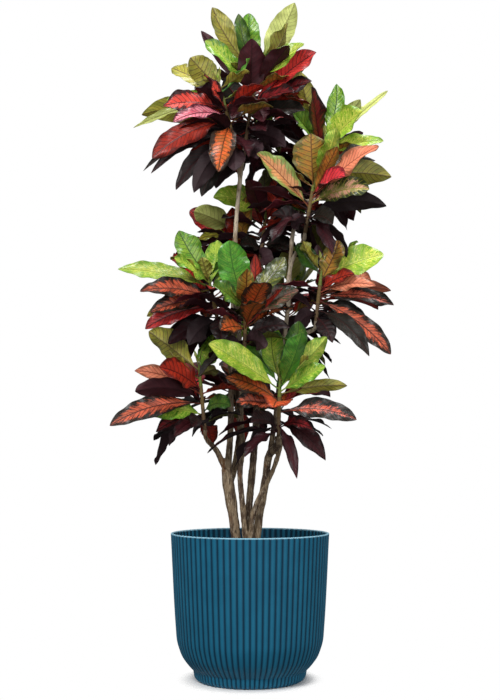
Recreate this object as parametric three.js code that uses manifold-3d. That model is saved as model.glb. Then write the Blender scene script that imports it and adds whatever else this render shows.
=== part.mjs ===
// A potted croton: a tall branched house plant with coloured leaves in a ribbed cover pot.
// Millimetres, +Z up. The origin is on the floor, on the pot's axis; -Y is the plant's front.
import * as THREE from "three";
import Module from "manifold-3d";

// ---- Driving dimensions ----

// The pot: outer radii and heights from the floor up to the rim.
const POT_HEIGHT = 315;
const RIM_RADIUS = 175;
const FOOT_RADIUS = 114; // at the floor, from where the foot's edge rounds outwards
const FOOT_TOP_RADIUS = 125;
const FOOT_HEIGHT = 22;
const WALL = 3.6;
const FLOOR = 6;
const RIB_COUNT = 78;
const RIB_DEPTH = 2.2;
const RIB_CREST = 0.3; // half the width of a rib's crest, as a share of the pitch
// The body's outline between foot and rim, as [radius, height].
const POT_OUTLINE = [
  [FOOT_RADIUS, 0],
  [123, 10], // the upper end of its rounded edge
  [FOOT_TOP_RADIUS, FOOT_HEIGHT],
  [149, 52],
  [161, 90],
  [RIM_RADIUS, POT_HEIGHT],
];

// The soil fills the pot to this depth below the rim.
const SOIL_DROP = 32;
const SOIL_RINGS = [0.75, 0.4]; // where its top has corners, as shares of its radius
const SOIL_RISE = [-1.5, 4]; // how far those corners lie above or below its edge
const INNER_SIDES = 39; // of the pot's inside and of the soil
const GAP = 0.3; // clearance between pieces that touch
const SLIVER = 0.15; // facets thinner than this are merged where solids are fused

// The woody stems.
const STEM_ROOT = 219; // height of the buried ends
const STEM_SIDES = 8;
const BRANCH_SIDES = 6;
const THICK_STEM = 8; // above this radius a stem has more sides than a branch
const STEM_END = 16; // the last stretch of a stem, in line with the shoot that it carries
const SHOOT_RADIUS = 4.6;
const SHOOT_FOOT = 40; // how far a shoot starts below its heart
const SHOOT_SIDES = 5;

// The leaves.
const PETIOLE_SHARE = 0.09; // of a leaf's length
const PETIOLE_RADIUS = 1.9;
const BLADE_THICKNESS = 1.0;
const WEDGE_SHARE = 0.25; // of a blade, over which it widens from its petiole
const WEDGE_START = 0.35; // the share of its full width with which a blade begins
const TIP_DRIFT = 1.12; // how far a blade's widest place lies past its middle, as a power
const SQUARENESS = 2.5; // of a blade's outline
const BLUNTNESS = 0.75; // of its ends: the lower, the blunter
const FULL_WAVE = 12; // the half width from which a blade's margin waves in full
const WIDE_STATIONS = [0.27, 0.56, 0.84]; // shares of the blade's length where its section is drawn
const NARROW_STATIONS = [0.36, 0.76];
const NARROW = 44; // up to this width a blade has the fewer stations
const LEAF_CLEARANCE = 11; // between leaves of different crowns
const CROWN_CLEARANCE = 8; // between leaves of one crown
const STEM_CLEARANCE = 7; // between a blade and a stem's surface
const BASE_CLEARANCE = 2.8; // between the lower end of a leaf and a stretch of shoot that isn't its own
const AGE_CLEARANCE = 5.2; // between leaves of one crown that differ in age
const BASE_SHARE = 0.3; // the share of a blade that counts as its lower end
const SPOT_STEP = 9; // between the rows of spots at which a leaf's room is measured
const GOLDEN_ANGLE = Math.PI * (3 - Math.sqrt(5));
const SEED = 20611;

// The way a leaf turns its upper face: towards the front, to the back, or up as it grows.
const FRONT = -2.2;
const BACK = 2.2;
const UP = 0;

// The three ages of leaf on a shoot, from its tip down, with the share of the shoot that each takes.
const AGES = {
  young: { kinds: ["green", "deep", "bronze"], from: 0.68, to: 1, color: 0x8aa63a },
  mature: { kinds: ["amber", "red", "rose"], from: 0.34, to: 0.68, color: 0xb5482e },
  old: { kinds: ["dark", "olive"], from: 0, to: 0.34, color: 0x2c1a20 },
};
const ROOTLESS_SHARE = 0.02; // of a shoot, at the upper end of each stretch, where no leaf grows

// How a leaf of each age that no row describes grows: length, width, and lift above the horizontal.
const HABIT = {
  young: { length: [120, 160], width: [44, 56], lift: [0.75, 1.2], arch: 0.05 },
  mature: { length: [140, 185], width: [50, 64], lift: [0.1, 0.6], arch: 0.09 },
  old: { length: [130, 170], width: [44, 56], lift: [-0.75, -0.15], arch: 0.13 },
};

// The crowns: the heart and tip of each shoot, its leaves seen in front, and the number of leaves of
// each age that a rule adds (young, mature, old) over a fan of the given middle direction and spread.
// A leaf is [kind, right, back, up, width, face]: its tip measured from the shoot's heart.
const CROWNS = [
  {
    name: "01",
    heart: [-5, -10, 1233],
    tip: [16, -15, 1385],
    leaves: [
      ["green", 109, 10, 301, 58, BACK],
      ["green", -83, 15, 292, 48, BACK],
      ["green", 3, -30, 258, 48, FRONT],
      ["green", -76, -25, 255, 40, BACK],
      ["deep", -21, -45, 243, 34, FRONT],
      ["green", 127, -60, 174, 50, FRONT],
      ["green", -97, -30, 186, 50, FRONT],
      ["red", 83, 40, 237, 34, BACK],
      ["red", -111, 45, 255, 32, BACK],
      ["red", -36, -80, -6, 42, FRONT],
      ["red", 36, -85, -14, 42, BACK],
      ["red", 9, -60, 179, 64, BACK],
      ["red", 156, -50, 165, 68, FRONT],
      ["red", 101, -90, 46, 46, FRONT],
      ["red", 146, -25, 100, 42, FRONT],
      ["dark", -47, -80, 113, 54, FRONT],
      ["dark", 128, -70, 15, 48, FRONT],
      ["dark", 40, -100, -35, 48, FRONT],
      ["dark", 85, -45, -60, 46, BACK],
      ["dark", 22, -60, -92, 44, BACK],
    ],
    fill: [2, 3, 4],
    middle: 1.6,
    spread: 2.8,
  },
  {
    name: "02",
    heart: [-42, -40, 1214],
    tip: [-68, -74, 1311],
    leaves: [
      ["green", -92, -40, 157, 60, BACK],
      ["green", -139, -20, 161, 50, FRONT],
      ["green", -150, 30, 84, 32, FRONT],
      ["green", -226, 40, 21, 22, FRONT],
      ["red", -151, -45, 55, 60, FRONT],
      ["red", -58, -110, 92, 38, FRONT],
      ["rose", -123, -85, -18, 42, FRONT],
      ["red", -177, -20, -68, 62, FRONT],
      ["amber", -27, -85, -117, 60, FRONT],
      ["olive", -211, 0, 63, 62, BACK],
      ["dark", -200, 20, -86, 22, FRONT],
      ["dark", -180, -10, -100, 24, FRONT],
      ["dark", -122, -35, -144, 40, FRONT],
      ["dark", -80, -60, -161, 46, BACK],
      ["dark", -66, -15, -154, 42, FRONT],
      ["dark", 8, -70, -115, 48, BACK],
    ],
    fill: [1, 2, 3],
    middle: 2.2,
    spread: 1.8,
  },
  {
    name: "03",
    heart: [160, 60, 1134],
    tip: [176, 55, 1233],
    leaves: [
      ["bronze", -40, -15, 250, 52, BACK],
      ["green", 44, -10, 223, 42, FRONT],
      ["green", -41, 20, 223, 38, FRONT],
      ["green", 166, 0, 210, 22, FRONT],
      ["bronze", 96, -30, 172, 40, BACK],
      ["green", 96, -70, 130, 84, FRONT],
      ["green", -71, -85, 142, 60, FRONT],
      ["green", 148, -50, 73, 42, FRONT],
      ["red", -23, -80, 171, 48, FRONT],
      ["red", 67, 10, 180, 28, BACK],
      ["red", 115, 20, 132, 36, BACK],
      ["dark", -88, -40, 64, 52, FRONT],
      ["dark", -100, -20, 2, 50, BACK],
      ["dark", 132, -20, 35, 46, FRONT],
      ["dark", 10, -70, 0, 46, FRONT],
    ],
    fill: [1, 3, 2],
    middle: 1.2,
    spread: 2.6,
  },
  {
    name: "04",
    heart: [130, -50, 1019],
    tip: [147, -75, 1112],
    leaves: [
      ["green", 187, 0, 87, 62, BACK],
      ["deep", 145, -15, 139, 50, FRONT],
      ["green", 60, 10, 165, 38, BACK],
      ["bronze", 4, -55, 170, 86, BACK],
      ["red", 72, -95, 57, 66, FRONT],
      ["amber", 143, -60, 105, 54, FRONT],
      ["rose", 128, -80, 38, 66, FRONT],
      ["amber", -115, -55, 125, 60, FRONT],
      ["dark", 174, -45, 18, 44, BACK],
      ["dark", 48, -85, -40, 50, FRONT],
      ["dark", -34, -60, -46, 40, BACK],
      ["dark", -82, -20, -4, 42, FRONT],
    ],
    fill: [1, 2, 2],
    middle: 1.0,
    spread: 2.4,
  },
  {
    name: "05",
    heart: [28, 50, 971],
    tip: [42, 60, 1080],
    leaves: [
      ["green", -112, -42, 102, 72, FRONT],
      ["green", 5, -20, 165, 40, BACK],
      ["red", 55, -30, 165, 50, BACK],
      ["red", -30, -35, 155, 46, BACK],
      ["red", 95, -20, 90, 50, FRONT],
      ["dark", 70, -60, -20, 48, FRONT],
      ["dark", -50, -50, -10, 40, FRONT],
      ["dark", 5, -70, -60, 46, BACK],
    ],
    fill: [1, 1, 2],
    middle: 1.7,
    spread: 2.6,
  },
  {
    name: "06",
    heart: [-75, -60, 799],
    tip: [-92, -90, 877],
    leaves: [
      ["green", -80, -40, 174, 58, FRONT],
      ["green", -29, -55, 112, 32, BACK],
      ["green", -84, -80, 98, 42, FRONT],
      ["green", -216, -10, 94, 48, FRONT],
      ["green", -156, 40, -4, 34, BACK],
      ["red", -2, -120, 44, 32, FRONT],
      ["amber", -160, -40, 34, 50, FRONT],
      ["amber", -140, -70, -8, 48, FRONT],
      ["red", -152, -35, -42, 50, FRONT],
      ["dark", 15, -55, -74, 42, FRONT],
      ["dark", -56, -60, -80, 48, BACK],
      ["dark", -105, 10, -70, 42, FRONT],
    ],
    fill: [1, 2, 2],
    middle: 2.4,
    spread: 2.0,
  },
  {
    name: "07",
    heart: [-11, -120, 748],
    tip: [-9, -140, 814],
    leaves: [
      ["green", -32, -25, 190, 70, FRONT],
      ["green", 86, 5, 164, 50, FRONT],
      ["rose", 116, -40, 93, 58, FRONT],
      ["deep", -66, -35, 88, 48, FRONT],
      ["bronze", 5, -50, 122, 42, FRONT],
      ["red", 22, 15, 172, 38, BACK],
      ["amber", -50, -55, -4, 48, FRONT],
      ["dark", 95, -45, 6, 42, FRONT],
      ["dark", 42, -60, -42, 42, BACK],
      ["dark", -52, -20, -50, 40, BACK],
    ],
    fill: [0, 2, 1],
    middle: -1.5,
    spread: 4.0,
  },
  {
    name: "08",
    heart: [151, -40, 822],
    tip: [159, -60, 897],
    leaves: [
      ["green", 0, 10, 134, 24, BACK],
      ["deep", -46, -15, 132, 48, FRONT],
      ["green", 145, -20, 106, 72, FRONT],
      ["bronze", 44, -40, 134, 48, FRONT],
      ["amber", 128, 5, 78, 42, FRONT],
      ["red", 76, -80, 54, 34, FRONT],
      ["amber", 120, -80, 26, 36, FRONT],
      ["amber", 165, 15, 30, 30, BACK],
      ["amber", 162, -50, -12, 42, FRONT],
      ["amber", 156, -35, -118, 46, FRONT],
      ["dark", 118, -10, -50, 42, FRONT],
      ["dark", 102, -60, -128, 40, FRONT],
      ["dark", -48, -40, -60, 40, BACK],
      ["dark", 28, -65, -94, 42, FRONT],
    ],
    fill: [1, 2, 2],
    middle: 0.9,
    spread: 2.0,
  },
  {
    name: "09",
    heart: [62, -100, 565],
    tip: [64, -120, 649],
    leaves: [
      ["green", -14, -5, 208, 52, FRONT],
      ["deep", 42, 10, 206, 50, FRONT],
      ["deep", -72, 25, 200, 48, FRONT],
      ["green", 104, -20, 174, 50, BACK],
      ["green", -148, -30, 150, 64, FRONT],
      ["green", 96, -60, 106, 42, FRONT],
      ["green", 146, -10, 68, 30, BACK],
      ["amber", -114, -35, 84, 52, FRONT],
      ["amber", -14, -115, 16, 66, FRONT],
      ["amber", -92, -70, 32, 46, FRONT],
      ["amber", 162, -45, -6, 48, FRONT],
      ["dark", 97, -35, -91, 40, FRONT],
      ["dark", 34, -90, -128, 26, FRONT],
      ["dark", 70, -75, -30, 30, FRONT],
      ["dark", -60, -60, -14, 48, FRONT],
    ],
    fill: [1, 2, 2],
    middle: 1.2,
    spread: 3.2,
  },
  {
    name: "10",
    heart: [-103, -40, 580],
    tip: [-112, -60, 682],
    leaves: [
      ["green", -124, -10, 182, 70, BACK],
      ["deep", 30, -60, 90, 34, BACK],
      ["deep", -122, 20, 16, 30, FRONT],
      ["red", -89, -55, 90, 62, FRONT],
      ["amber", -146, 0, 86, 40, FRONT],
      ["red", -138, -40, 50, 46, BACK],
      ["amber", -198, -20, -32, 50, FRONT],
      ["dark", 62, -75, 8, 42, FRONT],
      ["dark", -108, -60, -12, 50, FRONT],
      ["dark", -104, -15, -44, 34, FRONT],
      ["dark", -58, -60, -56, 34, FRONT],
      ["dark", -18, -75, -36, 46, FRONT],
    ],
    fill: [1, 2, 2],
    middle: 2.2,
    spread: 2.2,
  },
  {
    name: "11",
    heart: [-28, 100, 940],
    tip: [-36, 110, 1032],
    leaves: [
      ["green", -102, -55, 109, 56, BACK],
      ["bronze", -91, -60, 43, 24, FRONT],
      ["red", -117, -25, 132, 62, FRONT],
      ["red", -14, -60, 118, 40, FRONT],
      ["dark", -50, -60, 8, 36, BACK],
    ],
    fill: [3, 4, 3],
    middle: 1.9,
    spread: 2.6,
  },
  {
    name: "12",
    heart: [48, 100, 1212],
    tip: [53, 120, 1342],
    leaves: [
      ["green", -30, -60, 30, 44, FRONT],
      ["green", 40, -70, 60, 44, FRONT],
      ["dark", -40, -60, -70, 48, FRONT],
      ["dark", 14, -70, -120, 50, FRONT],
      ["dark", 60, -50, -60, 48, FRONT],
    ],
    fill: [3, 4, 1],
    middle: 1.5,
    spread: 4.2,
  },
  {
    name: "13",
    heart: [83, 110, 780],
    tip: [95, 130, 890],
    leaves: [],
    fill: [3, 4, 4],
    middle: 1.2,
    spread: 4.6,
  },
  {
    name: "14",
    heart: [-35, 100, 614],
    tip: [-52, 120, 710],
    leaves: [],
    fill: [3, 4, 4],
    middle: 1.9,
    spread: 4.6,
  },
];

// The woody stems: where each runs, its radius at even steps along it, and the crown that it
// carries, if any.
// The first stem of a trunk stands in the soil, and the others grow out of it.
const TRUNKS = {
  trunk_left: [
    {
      route: [[-30, -8, STEM_ROOT], [-30, -8, 293], [-40, -11, 374], [-49, -15, 429], [-52, -18, 455]],
      radii: [10.5, 10.5, 11.5, 13, 11.5],
    },
    {
      route: [[-52, -18, 449], [-61, -20, 470], [-75, -24, 497]],
      radii: [7, 4.8],
      crown: "10",
    },
    {
      route: [[-50, -16, 443], [-46, -22, 493], [-43, -32, 539], [-42, -48, 639], [-40, -60, 724]],
      radii: [8, 4.8],
      crown: "06",
    },
    {
      route: [
        [-46, -12, 417], [-37, 5, 449], [-28, 15, 493], [-22, 32, 569], [-24, 62, 729],
        [-27, 90, 869],
      ],
      radii: [7.5, 5.2],
      crown: "11",
    },
    {
      route: [[-23, 28, 537], [-25, 58, 543]],
      radii: [4.8, 4.6],
      crown: "14",
    },
  ],
  trunk_right: [
    {
      route: [[1, -12, STEM_ROOT], [1, -12, 293], [2, -11, 315]],
      radii: [18.5, 18.5, 12],
    },
    {
      route: [
        [-9, -18, 289], [-14, -25, 354], [-22, -30, 451], [-18, -30, 489], [-19, -29, 554],
        [-31, -25, 641], [-37, -20, 749], [-37, -20, 859], [-34, -20, 964], [-27, -20, 1061],
        [-19, -18, 1139],
      ],
      radii: [6.6, 4.8],
      crown: "01",
    },
    {
      route: [[-22, -19, 1107], [-25, -22, 1131]],
      radii: [4.8, 4.6],
      crown: "02",
    },
    {
      route: [[-31, -25, 634], [-24, -60, 671]],
      radii: [4.8, 4.6],
      crown: "07",
    },
    {
      route: [[-1, -4, 289], [-3, 6, 353], [4, 14, 437], [13, 20, 544], [16, 30, 659], [17, 40, 841]],
      radii: [8.8, 6],
      crown: "05",
    },
    {
      route: [[17, 41, 824], [24, 72, 909], [36, 88, 1049]],
      radii: [4.8, 4.6],
      crown: "12",
    },
    {
      route: [[16, 31, 677], [42, 64, 697]],
      radii: [5, 4.6],
      crown: "13",
    },
    {
      route: [[12, -8, 289], [23, -11, 367], [33, -20, 422], [42, -42, 485]],
      radii: [9.5, 8],
      crown: "09",
    },
    {
      route: [
        [38, -34, 461], [50, -44, 529], [66, -30, 651], [79, -25, 764], [88, -25, 864],
        [86, -30, 870], [97, -33, 924],
      ],
      radii: [6.2, 4.6],
      crown: "04",
    },
    {
      route: [[78, -25, 737], [108, -24, 751]],
      radii: [4.8, 4.6],
      crown: "08",
    },
    {
      route: [[88, -25, 862], [92, -12, 930], [98, -2, 990], [122, 30, 1069]],
      radii: [4.8, 4.6],
      crown: "03",
    },
    {
      route: [
        [3, -20, 289], [4, -31, 341], [15, -37, 381], [33, -43, 417], [50, -48, 453],
        [71, -56, 517],
      ],
      radii: [6.5, 4.6],
    },
  ],
};

// ---- Seeded draws ----

class Draw {
  constructor(seed) {
    this.state = seed;
  }

  between(low, high) {
    this.state = (this.state * 16807) % 2147483647;
    return low + ((high - low) * this.state) / 2147483647;
  }
}

// ---- Vectors ----

const vector = (xyz) => new THREE.Vector3(...xyz);
const along = (from, direction, distance) => from.clone().addScaledVector(direction, distance);
const mix = (a, b, share) => a + (b - a) * share;

// A unit vector square to the given direction, as near as can be to the wanted one.
function squareTo(direction, wanted) {
  return along(wanted, direction, -wanted.dot(direction)).normalize();
}

// ---- Meshes and solids ----

const wasm = await Module();
wasm.setup();

// A closed body from points and triangles.
function solidFrom(points, triangles) {
  return new wasm.Manifold(
    new wasm.Mesh({
      numProp: 3,
      vertProperties: new Float32Array(points.flatMap((p) => [p.x, p.y, p.z])),
      triVerts: new Uint32Array(triangles.flat()),
    }),
  );
}

function geometryFrom(solid) {
  const { vertProperties, triVerts } = solid.getMesh();
  const geometry = new THREE.BufferGeometry();
  geometry.setAttribute("position", new THREE.BufferAttribute(vertProperties, 3));
  geometry.setIndex(new THREE.BufferAttribute(triVerts, 1));
  geometry.computeVertexNormals();
  return geometry;
}

// Triangles between two rings of the same count; the rings turn anticlockwise seen from ahead.
function band(first, second, count) {
  const triangles = [];
  for (let i = 0; i < count; i += 1) {
    const j = (i + 1) % count;
    triangles.push([first + i, first + j, second + j], [first + i, second + j, second + i]);
  }
  return triangles;
}

// Triangles that close a ring with a fan from its first point.
function fan(first, count, facesAhead) {
  const triangles = [];
  for (let i = 1; i < count - 1; i += 1) {
    triangles.push(facesAhead ? [first, first + i, first + i + 1] : [first, first + i + 1, first + i]);
  }
  return triangles;
}

// The radius at a share of a bar's length, from a list of radii at even steps.
function radiusAt(radii, share) {
  const place = share * (radii.length - 1);
  const step = Math.min(Math.floor(place), radii.length - 2);
  return mix(radii[step], radii[step + 1], place - step);
}

// A round bar of changing radius through the given points, closed at both ends.
function bar(route, radii, sides) {
  const points = [];
  const triangles = [];
  let normal = new THREE.Vector3(1, 0, 0);
  route.forEach((centre, i) => {
    const before = route[Math.max(i - 1, 0)];
    const after = route[Math.min(i + 1, route.length - 1)];
    const ahead = after.clone().sub(before).normalize();
    normal = squareTo(ahead, normal);
    const side = new THREE.Vector3().crossVectors(ahead, normal);
    const radius = radiusAt(radii, i / (route.length - 1));
    for (let k = 0; k < sides; k += 1) {
      const angle = (2 * Math.PI * k) / sides;
      const spoke = along(centre, normal, radius * Math.cos(angle));
      points.push(along(spoke, side, radius * Math.sin(angle)));
    }
    if (i > 0) triangles.push(...band((i - 1) * sides, i * sides, sides));
  });
  triangles.push(...fan(0, sides, false), ...fan((route.length - 1) * sides, sides, true));
  return solidFrom(points, triangles);
}

// ---- The pot and its soil ----

// The outside of the pot at one height: a crest and a groove for each rib.
function ribbedRing(radius, height, depth) {
  const ring = [];
  const pitch = (2 * Math.PI) / RIB_COUNT;
  for (let rib = 0; rib < RIB_COUNT; rib += 1) {
    for (const [place, inset] of [[-0.5, depth], [-RIB_CREST, 0], [RIB_CREST, 0]]) {
      const angle = (rib + place) * pitch;
      const reach = radius - inset;
      ring.push(new THREE.Vector3(reach * Math.cos(angle), reach * Math.sin(angle), height));
    }
  }
  return ring;
}

// The inside of the pot at one height. Its corners lie between ribs.
function plainRing(radius, height) {
  const ring = [];
  for (let i = 0; i < INNER_SIDES; i += 1) {
    const angle = (2 * Math.PI * (i - 0.25)) / INNER_SIDES;
    ring.push(new THREE.Vector3(radius * Math.cos(angle), radius * Math.sin(angle), height));
  }
  return ring;
}

// The pot's inner radius at a height, a wall's thickness in from the grooves.
function innerRadius(height) {
  const next = POT_OUTLINE.findIndex((point) => point[1] >= height);
  const [lowRadius, low] = POT_OUTLINE[next - 1];
  const [highRadius, high] = POT_OUTLINE[next];
  return mix(lowRadius, highRadius, (height - low) / (high - low)) - RIB_DEPTH - WALL;
}

// The heights at which the pot's inside is drawn: its floor, and each bend of the outline from the
// top of the foot up.
const INNER_HEIGHTS = [FLOOR, ...POT_OUTLINE.slice(2).map((point) => point[1])];

function potSolid() {
  const ribCorners = 3 * RIB_COUNT;
  const ribsToSide = RIB_COUNT / INNER_SIDES;
  const points = POT_OUTLINE.flatMap(([radius, height]) => ribbedRing(radius, height, RIB_DEPTH));
  const inner = INNER_HEIGHTS.map((height) => plainRing(innerRadius(height), height));
  const innerStart = points.length;
  points.push(...inner.reverse().flat());
  const triangles = [];
  for (let i = 1; i < POT_OUTLINE.length; i += 1) {
    triangles.push(...band((i - 1) * ribCorners, i * ribCorners, ribCorners));
  }
  // The rim: the outer corners of two ribs meet one edge of the inner ring.
  const rim = (POT_OUTLINE.length - 1) * ribCorners;
  for (let side = 0; side < INNER_SIDES; side += 1) {
    const here = innerStart + side;
    const next = innerStart + ((side + 1) % INNER_SIDES);
    const corners = 3 * ribsToSide;
    for (let corner = 0; corner < corners; corner += 1) {
      const outer = rim + side * corners + corner;
      const after = rim + ((side * corners + corner + 1) % ribCorners);
      if (corner === corners / 2) triangles.push([outer, next, here]);
      triangles.push([outer, after, corner < corners / 2 ? here : next]);
    }
  }
  for (let i = 1; i < inner.length; i += 1) {
    const ring = innerStart + i * INNER_SIDES;
    triangles.push(...band(ring - INNER_SIDES, ring, INNER_SIDES));
  }
  triangles.push(...fan(innerStart + (inner.length - 1) * INNER_SIDES, INNER_SIDES, true));
  triangles.push(...fan(0, ribCorners, false));
  return solidFrom(points, triangles);
}

// The soil: it follows the pot's inside, and its top rises and falls a little.
function soilSolid() {
  const draw = new Draw(SEED);
  const top = POT_HEIGHT - SOIL_DROP;
  const heights = [...INNER_HEIGHTS.slice(0, -1), top];
  const rings = heights.map((height) => plainRing(innerRadius(height) - 2 * GAP, height + GAP));
  for (const share of SOIL_RINGS) {
    const ring = plainRing(innerRadius(top) * share, top);
    for (const point of ring) point.z += draw.between(...SOIL_RISE);
    rings.push(ring);
  }
  const triangles = [];
  for (let i = 1; i < rings.length; i += 1) {
    triangles.push(...band((i - 1) * INNER_SIDES, i * INNER_SIDES, INNER_SIDES));
  }
  triangles.push(...fan(0, INNER_SIDES, false));
  triangles.push(...fan((rings.length - 1) * INNER_SIDES, INNER_SIDES, true));
  let soil = solidFrom(rings.flat(), triangles);
  for (const [first] of Object.values(TRUNKS)) {
    const [x, y] = first.route[0];
    const hole = [vector([x, y, STEM_ROOT - GAP]), vector([x, y, POT_HEIGHT])];
    const radius = first.radii[0] + GAP;
    soil = soil.subtract(bar(hole, [radius, radius], STEM_SIDES));
  }
  return soil;
}

// ---- Leaves ----

// A leaf is an arc from its root through a bend to its tip, with a blade that is folded along its
// midrib and waved at its margins. Its upper face turns as near as it can to `facing`.
function makeLeaf(root, tip, width, face, arch, bow, traits) {
  const chord = tip.clone().sub(root);
  const length = chord.length();
  const ahead = chord.clone().normalize();
  const up = new THREE.Vector3(0, 0, 1);
  const rise = along(up, ahead, -up.dot(ahead));
  const out = new THREE.Vector3(ahead.x, ahead.y, 0);
  const bend = along(along(root, chord, 0.5), rise, 2 * arch * length);
  bend.addScaledVector(out.clone().normalize(), bow * length * Math.max(ahead.z, 0));
  const facing = new THREE.Vector3(-0.5 * out.x, -0.5 * out.y + face + traits.turn, 1);
  return { root, bend, tip, length, width, facing, ...traits };
}

// The half width of a blade at a share of its length, out of 1 at its widest. That lies a little past
// the middle, and the tip is blunt.
function bladeOutline(share) {
  const place = Math.min(1, Math.abs(2 * Math.pow(share, TIP_DRIFT) - 1));
  const wedge = Math.min(1, mix(WEDGE_START, 1, share / WEDGE_SHARE));
  return wedge * Math.pow(1 - Math.pow(place, SQUARENESS), BLUNTNESS);
}

// The midrib's place, and the directions along, across and out of the blade, at a share of the leaf.
function leafFrame(leaf, t) {
  const { root, bend, tip, facing } = leaf;
  const s = 1 - t;
  const centre = root.clone().multiplyScalar(s * s);
  centre.addScaledVector(bend, 2 * s * t).addScaledVector(tip, t * t);
  const ahead = bend.clone().sub(root).lerp(tip.clone().sub(bend), t).normalize();
  const normal = squareTo(ahead, facing);
  const side = new THREE.Vector3().crossVectors(normal, ahead);
  return { centre, ahead, normal, side };
}

// A point of the blade's middle surface: `share` runs from the blade's base to its tip, and `across`
// from -1 at one margin to 1 at the other.
function bladePoint(leaf, share, across) {
  const t = PETIOLE_SHARE + (1 - PETIOLE_SHARE) * share;
  const { centre, normal, side } = leafFrame(leaf, t);
  const half = 0.5 * leaf.width * bladeOutline(share);
  const phase = leaf.waves * share * Math.PI + leaf.phase + across;
  const swell = Math.sin(phase) * Math.min(1, half / FULL_WAVE);
  const lift = half * Math.abs(across) * Math.sin(leaf.fold) + leaf.wave * swell * across * across;
  return along(along(centre, side, half * across * Math.cos(leaf.fold)), normal, lift);
}

// The petiole is three-sided. The blade has a top and a bottom face, split into triangles alike.
function leafSolid(leaf) {
  const points = [];
  const triangles = [];
  for (const t of [0, PETIOLE_SHARE]) {
    const { centre, normal, side } = leafFrame(leaf, t);
    points.push(along(centre, side, -PETIOLE_RADIUS));
    points.push(along(centre, side, PETIOLE_RADIUS));
    points.push(along(centre, normal, PETIOLE_RADIUS));
  }
  triangles.push([0, 2, 1], ...band(0, 3, 3));
  const stations = leaf.width > NARROW ? WIDE_STATIONS : NARROW_STATIONS;
  stations.forEach((share) => {
    const { normal } = leafFrame(leaf, PETIOLE_SHARE + (1 - PETIOLE_SHARE) * share);
    for (const [across, face] of [[-1, -1], [0, -1], [1, -1], [1, 1], [0, 1], [-1, 1]]) {
      points.push(along(bladePoint(leaf, share, across), normal, face * 0.5 * BLADE_THICKNESS));
    }
  });
  const [left, right, top] = [3, 4, 5];
  const [leftUnder, midUnder, rightUnder, rightTop, midTop, leftTop] = [6, 7, 8, 9, 10, 11];
  triangles.push(
    [left, right, midUnder], [left, midUnder, leftUnder], [right, rightUnder, midUnder],
    [right, rightTop, rightUnder], [right, top, midTop], [right, midTop, rightTop],
    [top, left, leftTop], [top, leftTop, midTop], [left, leftUnder, leftTop],
  );
  for (let i = 1; i < stations.length; i += 1) {
    const a = 6 * i;
    const b = a + 6;
    triangles.push(
      [a, a + 1, b + 1], [a, b + 1, b], [a + 1, a + 2, b + 1], [a + 2, b + 2, b + 1],
      [a + 2, a + 3, b + 3], [a + 2, b + 3, b + 2],
      [a + 3, a + 4, b + 4], [a + 3, b + 4, b + 3], [a + 4, a + 5, b + 4], [a + 5, b + 5, b + 4],
      [a + 5, a, b], [a + 5, b, b + 5],
    );
  }
  const last = 6 * stations.length;
  const end = points.length;
  points.push(leaf.tip);
  for (let i = 0; i < 6; i += 1) triangles.push([last + i, last + ((i + 1) % 6), end]);
  return solidFrom(points, triangles);
}

// ---- Laying the plant out ----

// The ends of a crown's shoot, and its direction.
function shootOf(crown) {
  const tip = vector(crown.tip);
  const ahead = tip.clone().sub(vector(crown.heart)).normalize();
  return { foot: along(vector(crown.heart), ahead, -SHOOT_FOOT), tip, ahead };
}

// The whole route of a stem: one that carries a crown ends square to the crown's shoot.
function stemRoute(stem) {
  const route = stem.route.map(vector);
  if (stem.crown) {
    const { foot, ahead } = shootOf(CROWNS.find((crown) => crown.name === stem.crown));
    route.push(along(foot, ahead, -STEM_END), foot);
  }
  return route;
}

// Spots on the stems, with their radius, that leaves keep away from.
function woodSpots() {
  const spots = [];
  const stretch = (from, to, radius, owner) => {
    const steps = Math.ceil(from.distanceTo(to) / SPOT_STEP);
    for (let i = 0; i <= steps; i += 1) {
      spots.push({ at: from.clone().lerp(to, i / steps), radius, owner });
    }
  };
  for (const stem of Object.values(TRUNKS).flat()) {
    const route = stemRoute(stem);
    for (let i = 1; i < route.length; i += 1) stretch(route[i - 1], route[i], Math.max(...stem.radii));
  }
  for (const crown of CROWNS) {
    const { foot, tip } = shootOf(crown);
    for (const [age, { from, to }] of Object.entries(AGES)) {
      const [low, high] = [from, to].map((share) => foot.clone().lerp(tip, share));
      stretch(low, high, SHOOT_RADIUS, crown.name + age);
    }
  }
  return spots;
}

// Spots over a leaf: `base` holds those of its petiole and the blade's lower end, near the shoot,
// and `blade` the rest. Rows of five follow one another along the blade.
function leafSpots(leaf) {
  const base = [0.4, 0.7, 1].map((share) => leafFrame(leaf, share * PETIOLE_SHARE).centre);
  const blade = [];
  const steps = Math.ceil(leaf.length / SPOT_STEP);
  for (let i = 1; i <= steps; i += 1) {
    const share = i / steps;
    const list = share < BASE_SHARE ? base : blade;
    for (const across of [-1, -0.5, 0, 0.5, 1]) list.push(bladePoint(leaf, share, across));
  }
  return { base, blade };
}

function tooNear(spots, others, distance) {
  return spots.some((a) => others.some((b) => a.distanceToSquared(b) < distance * distance));
}

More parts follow.
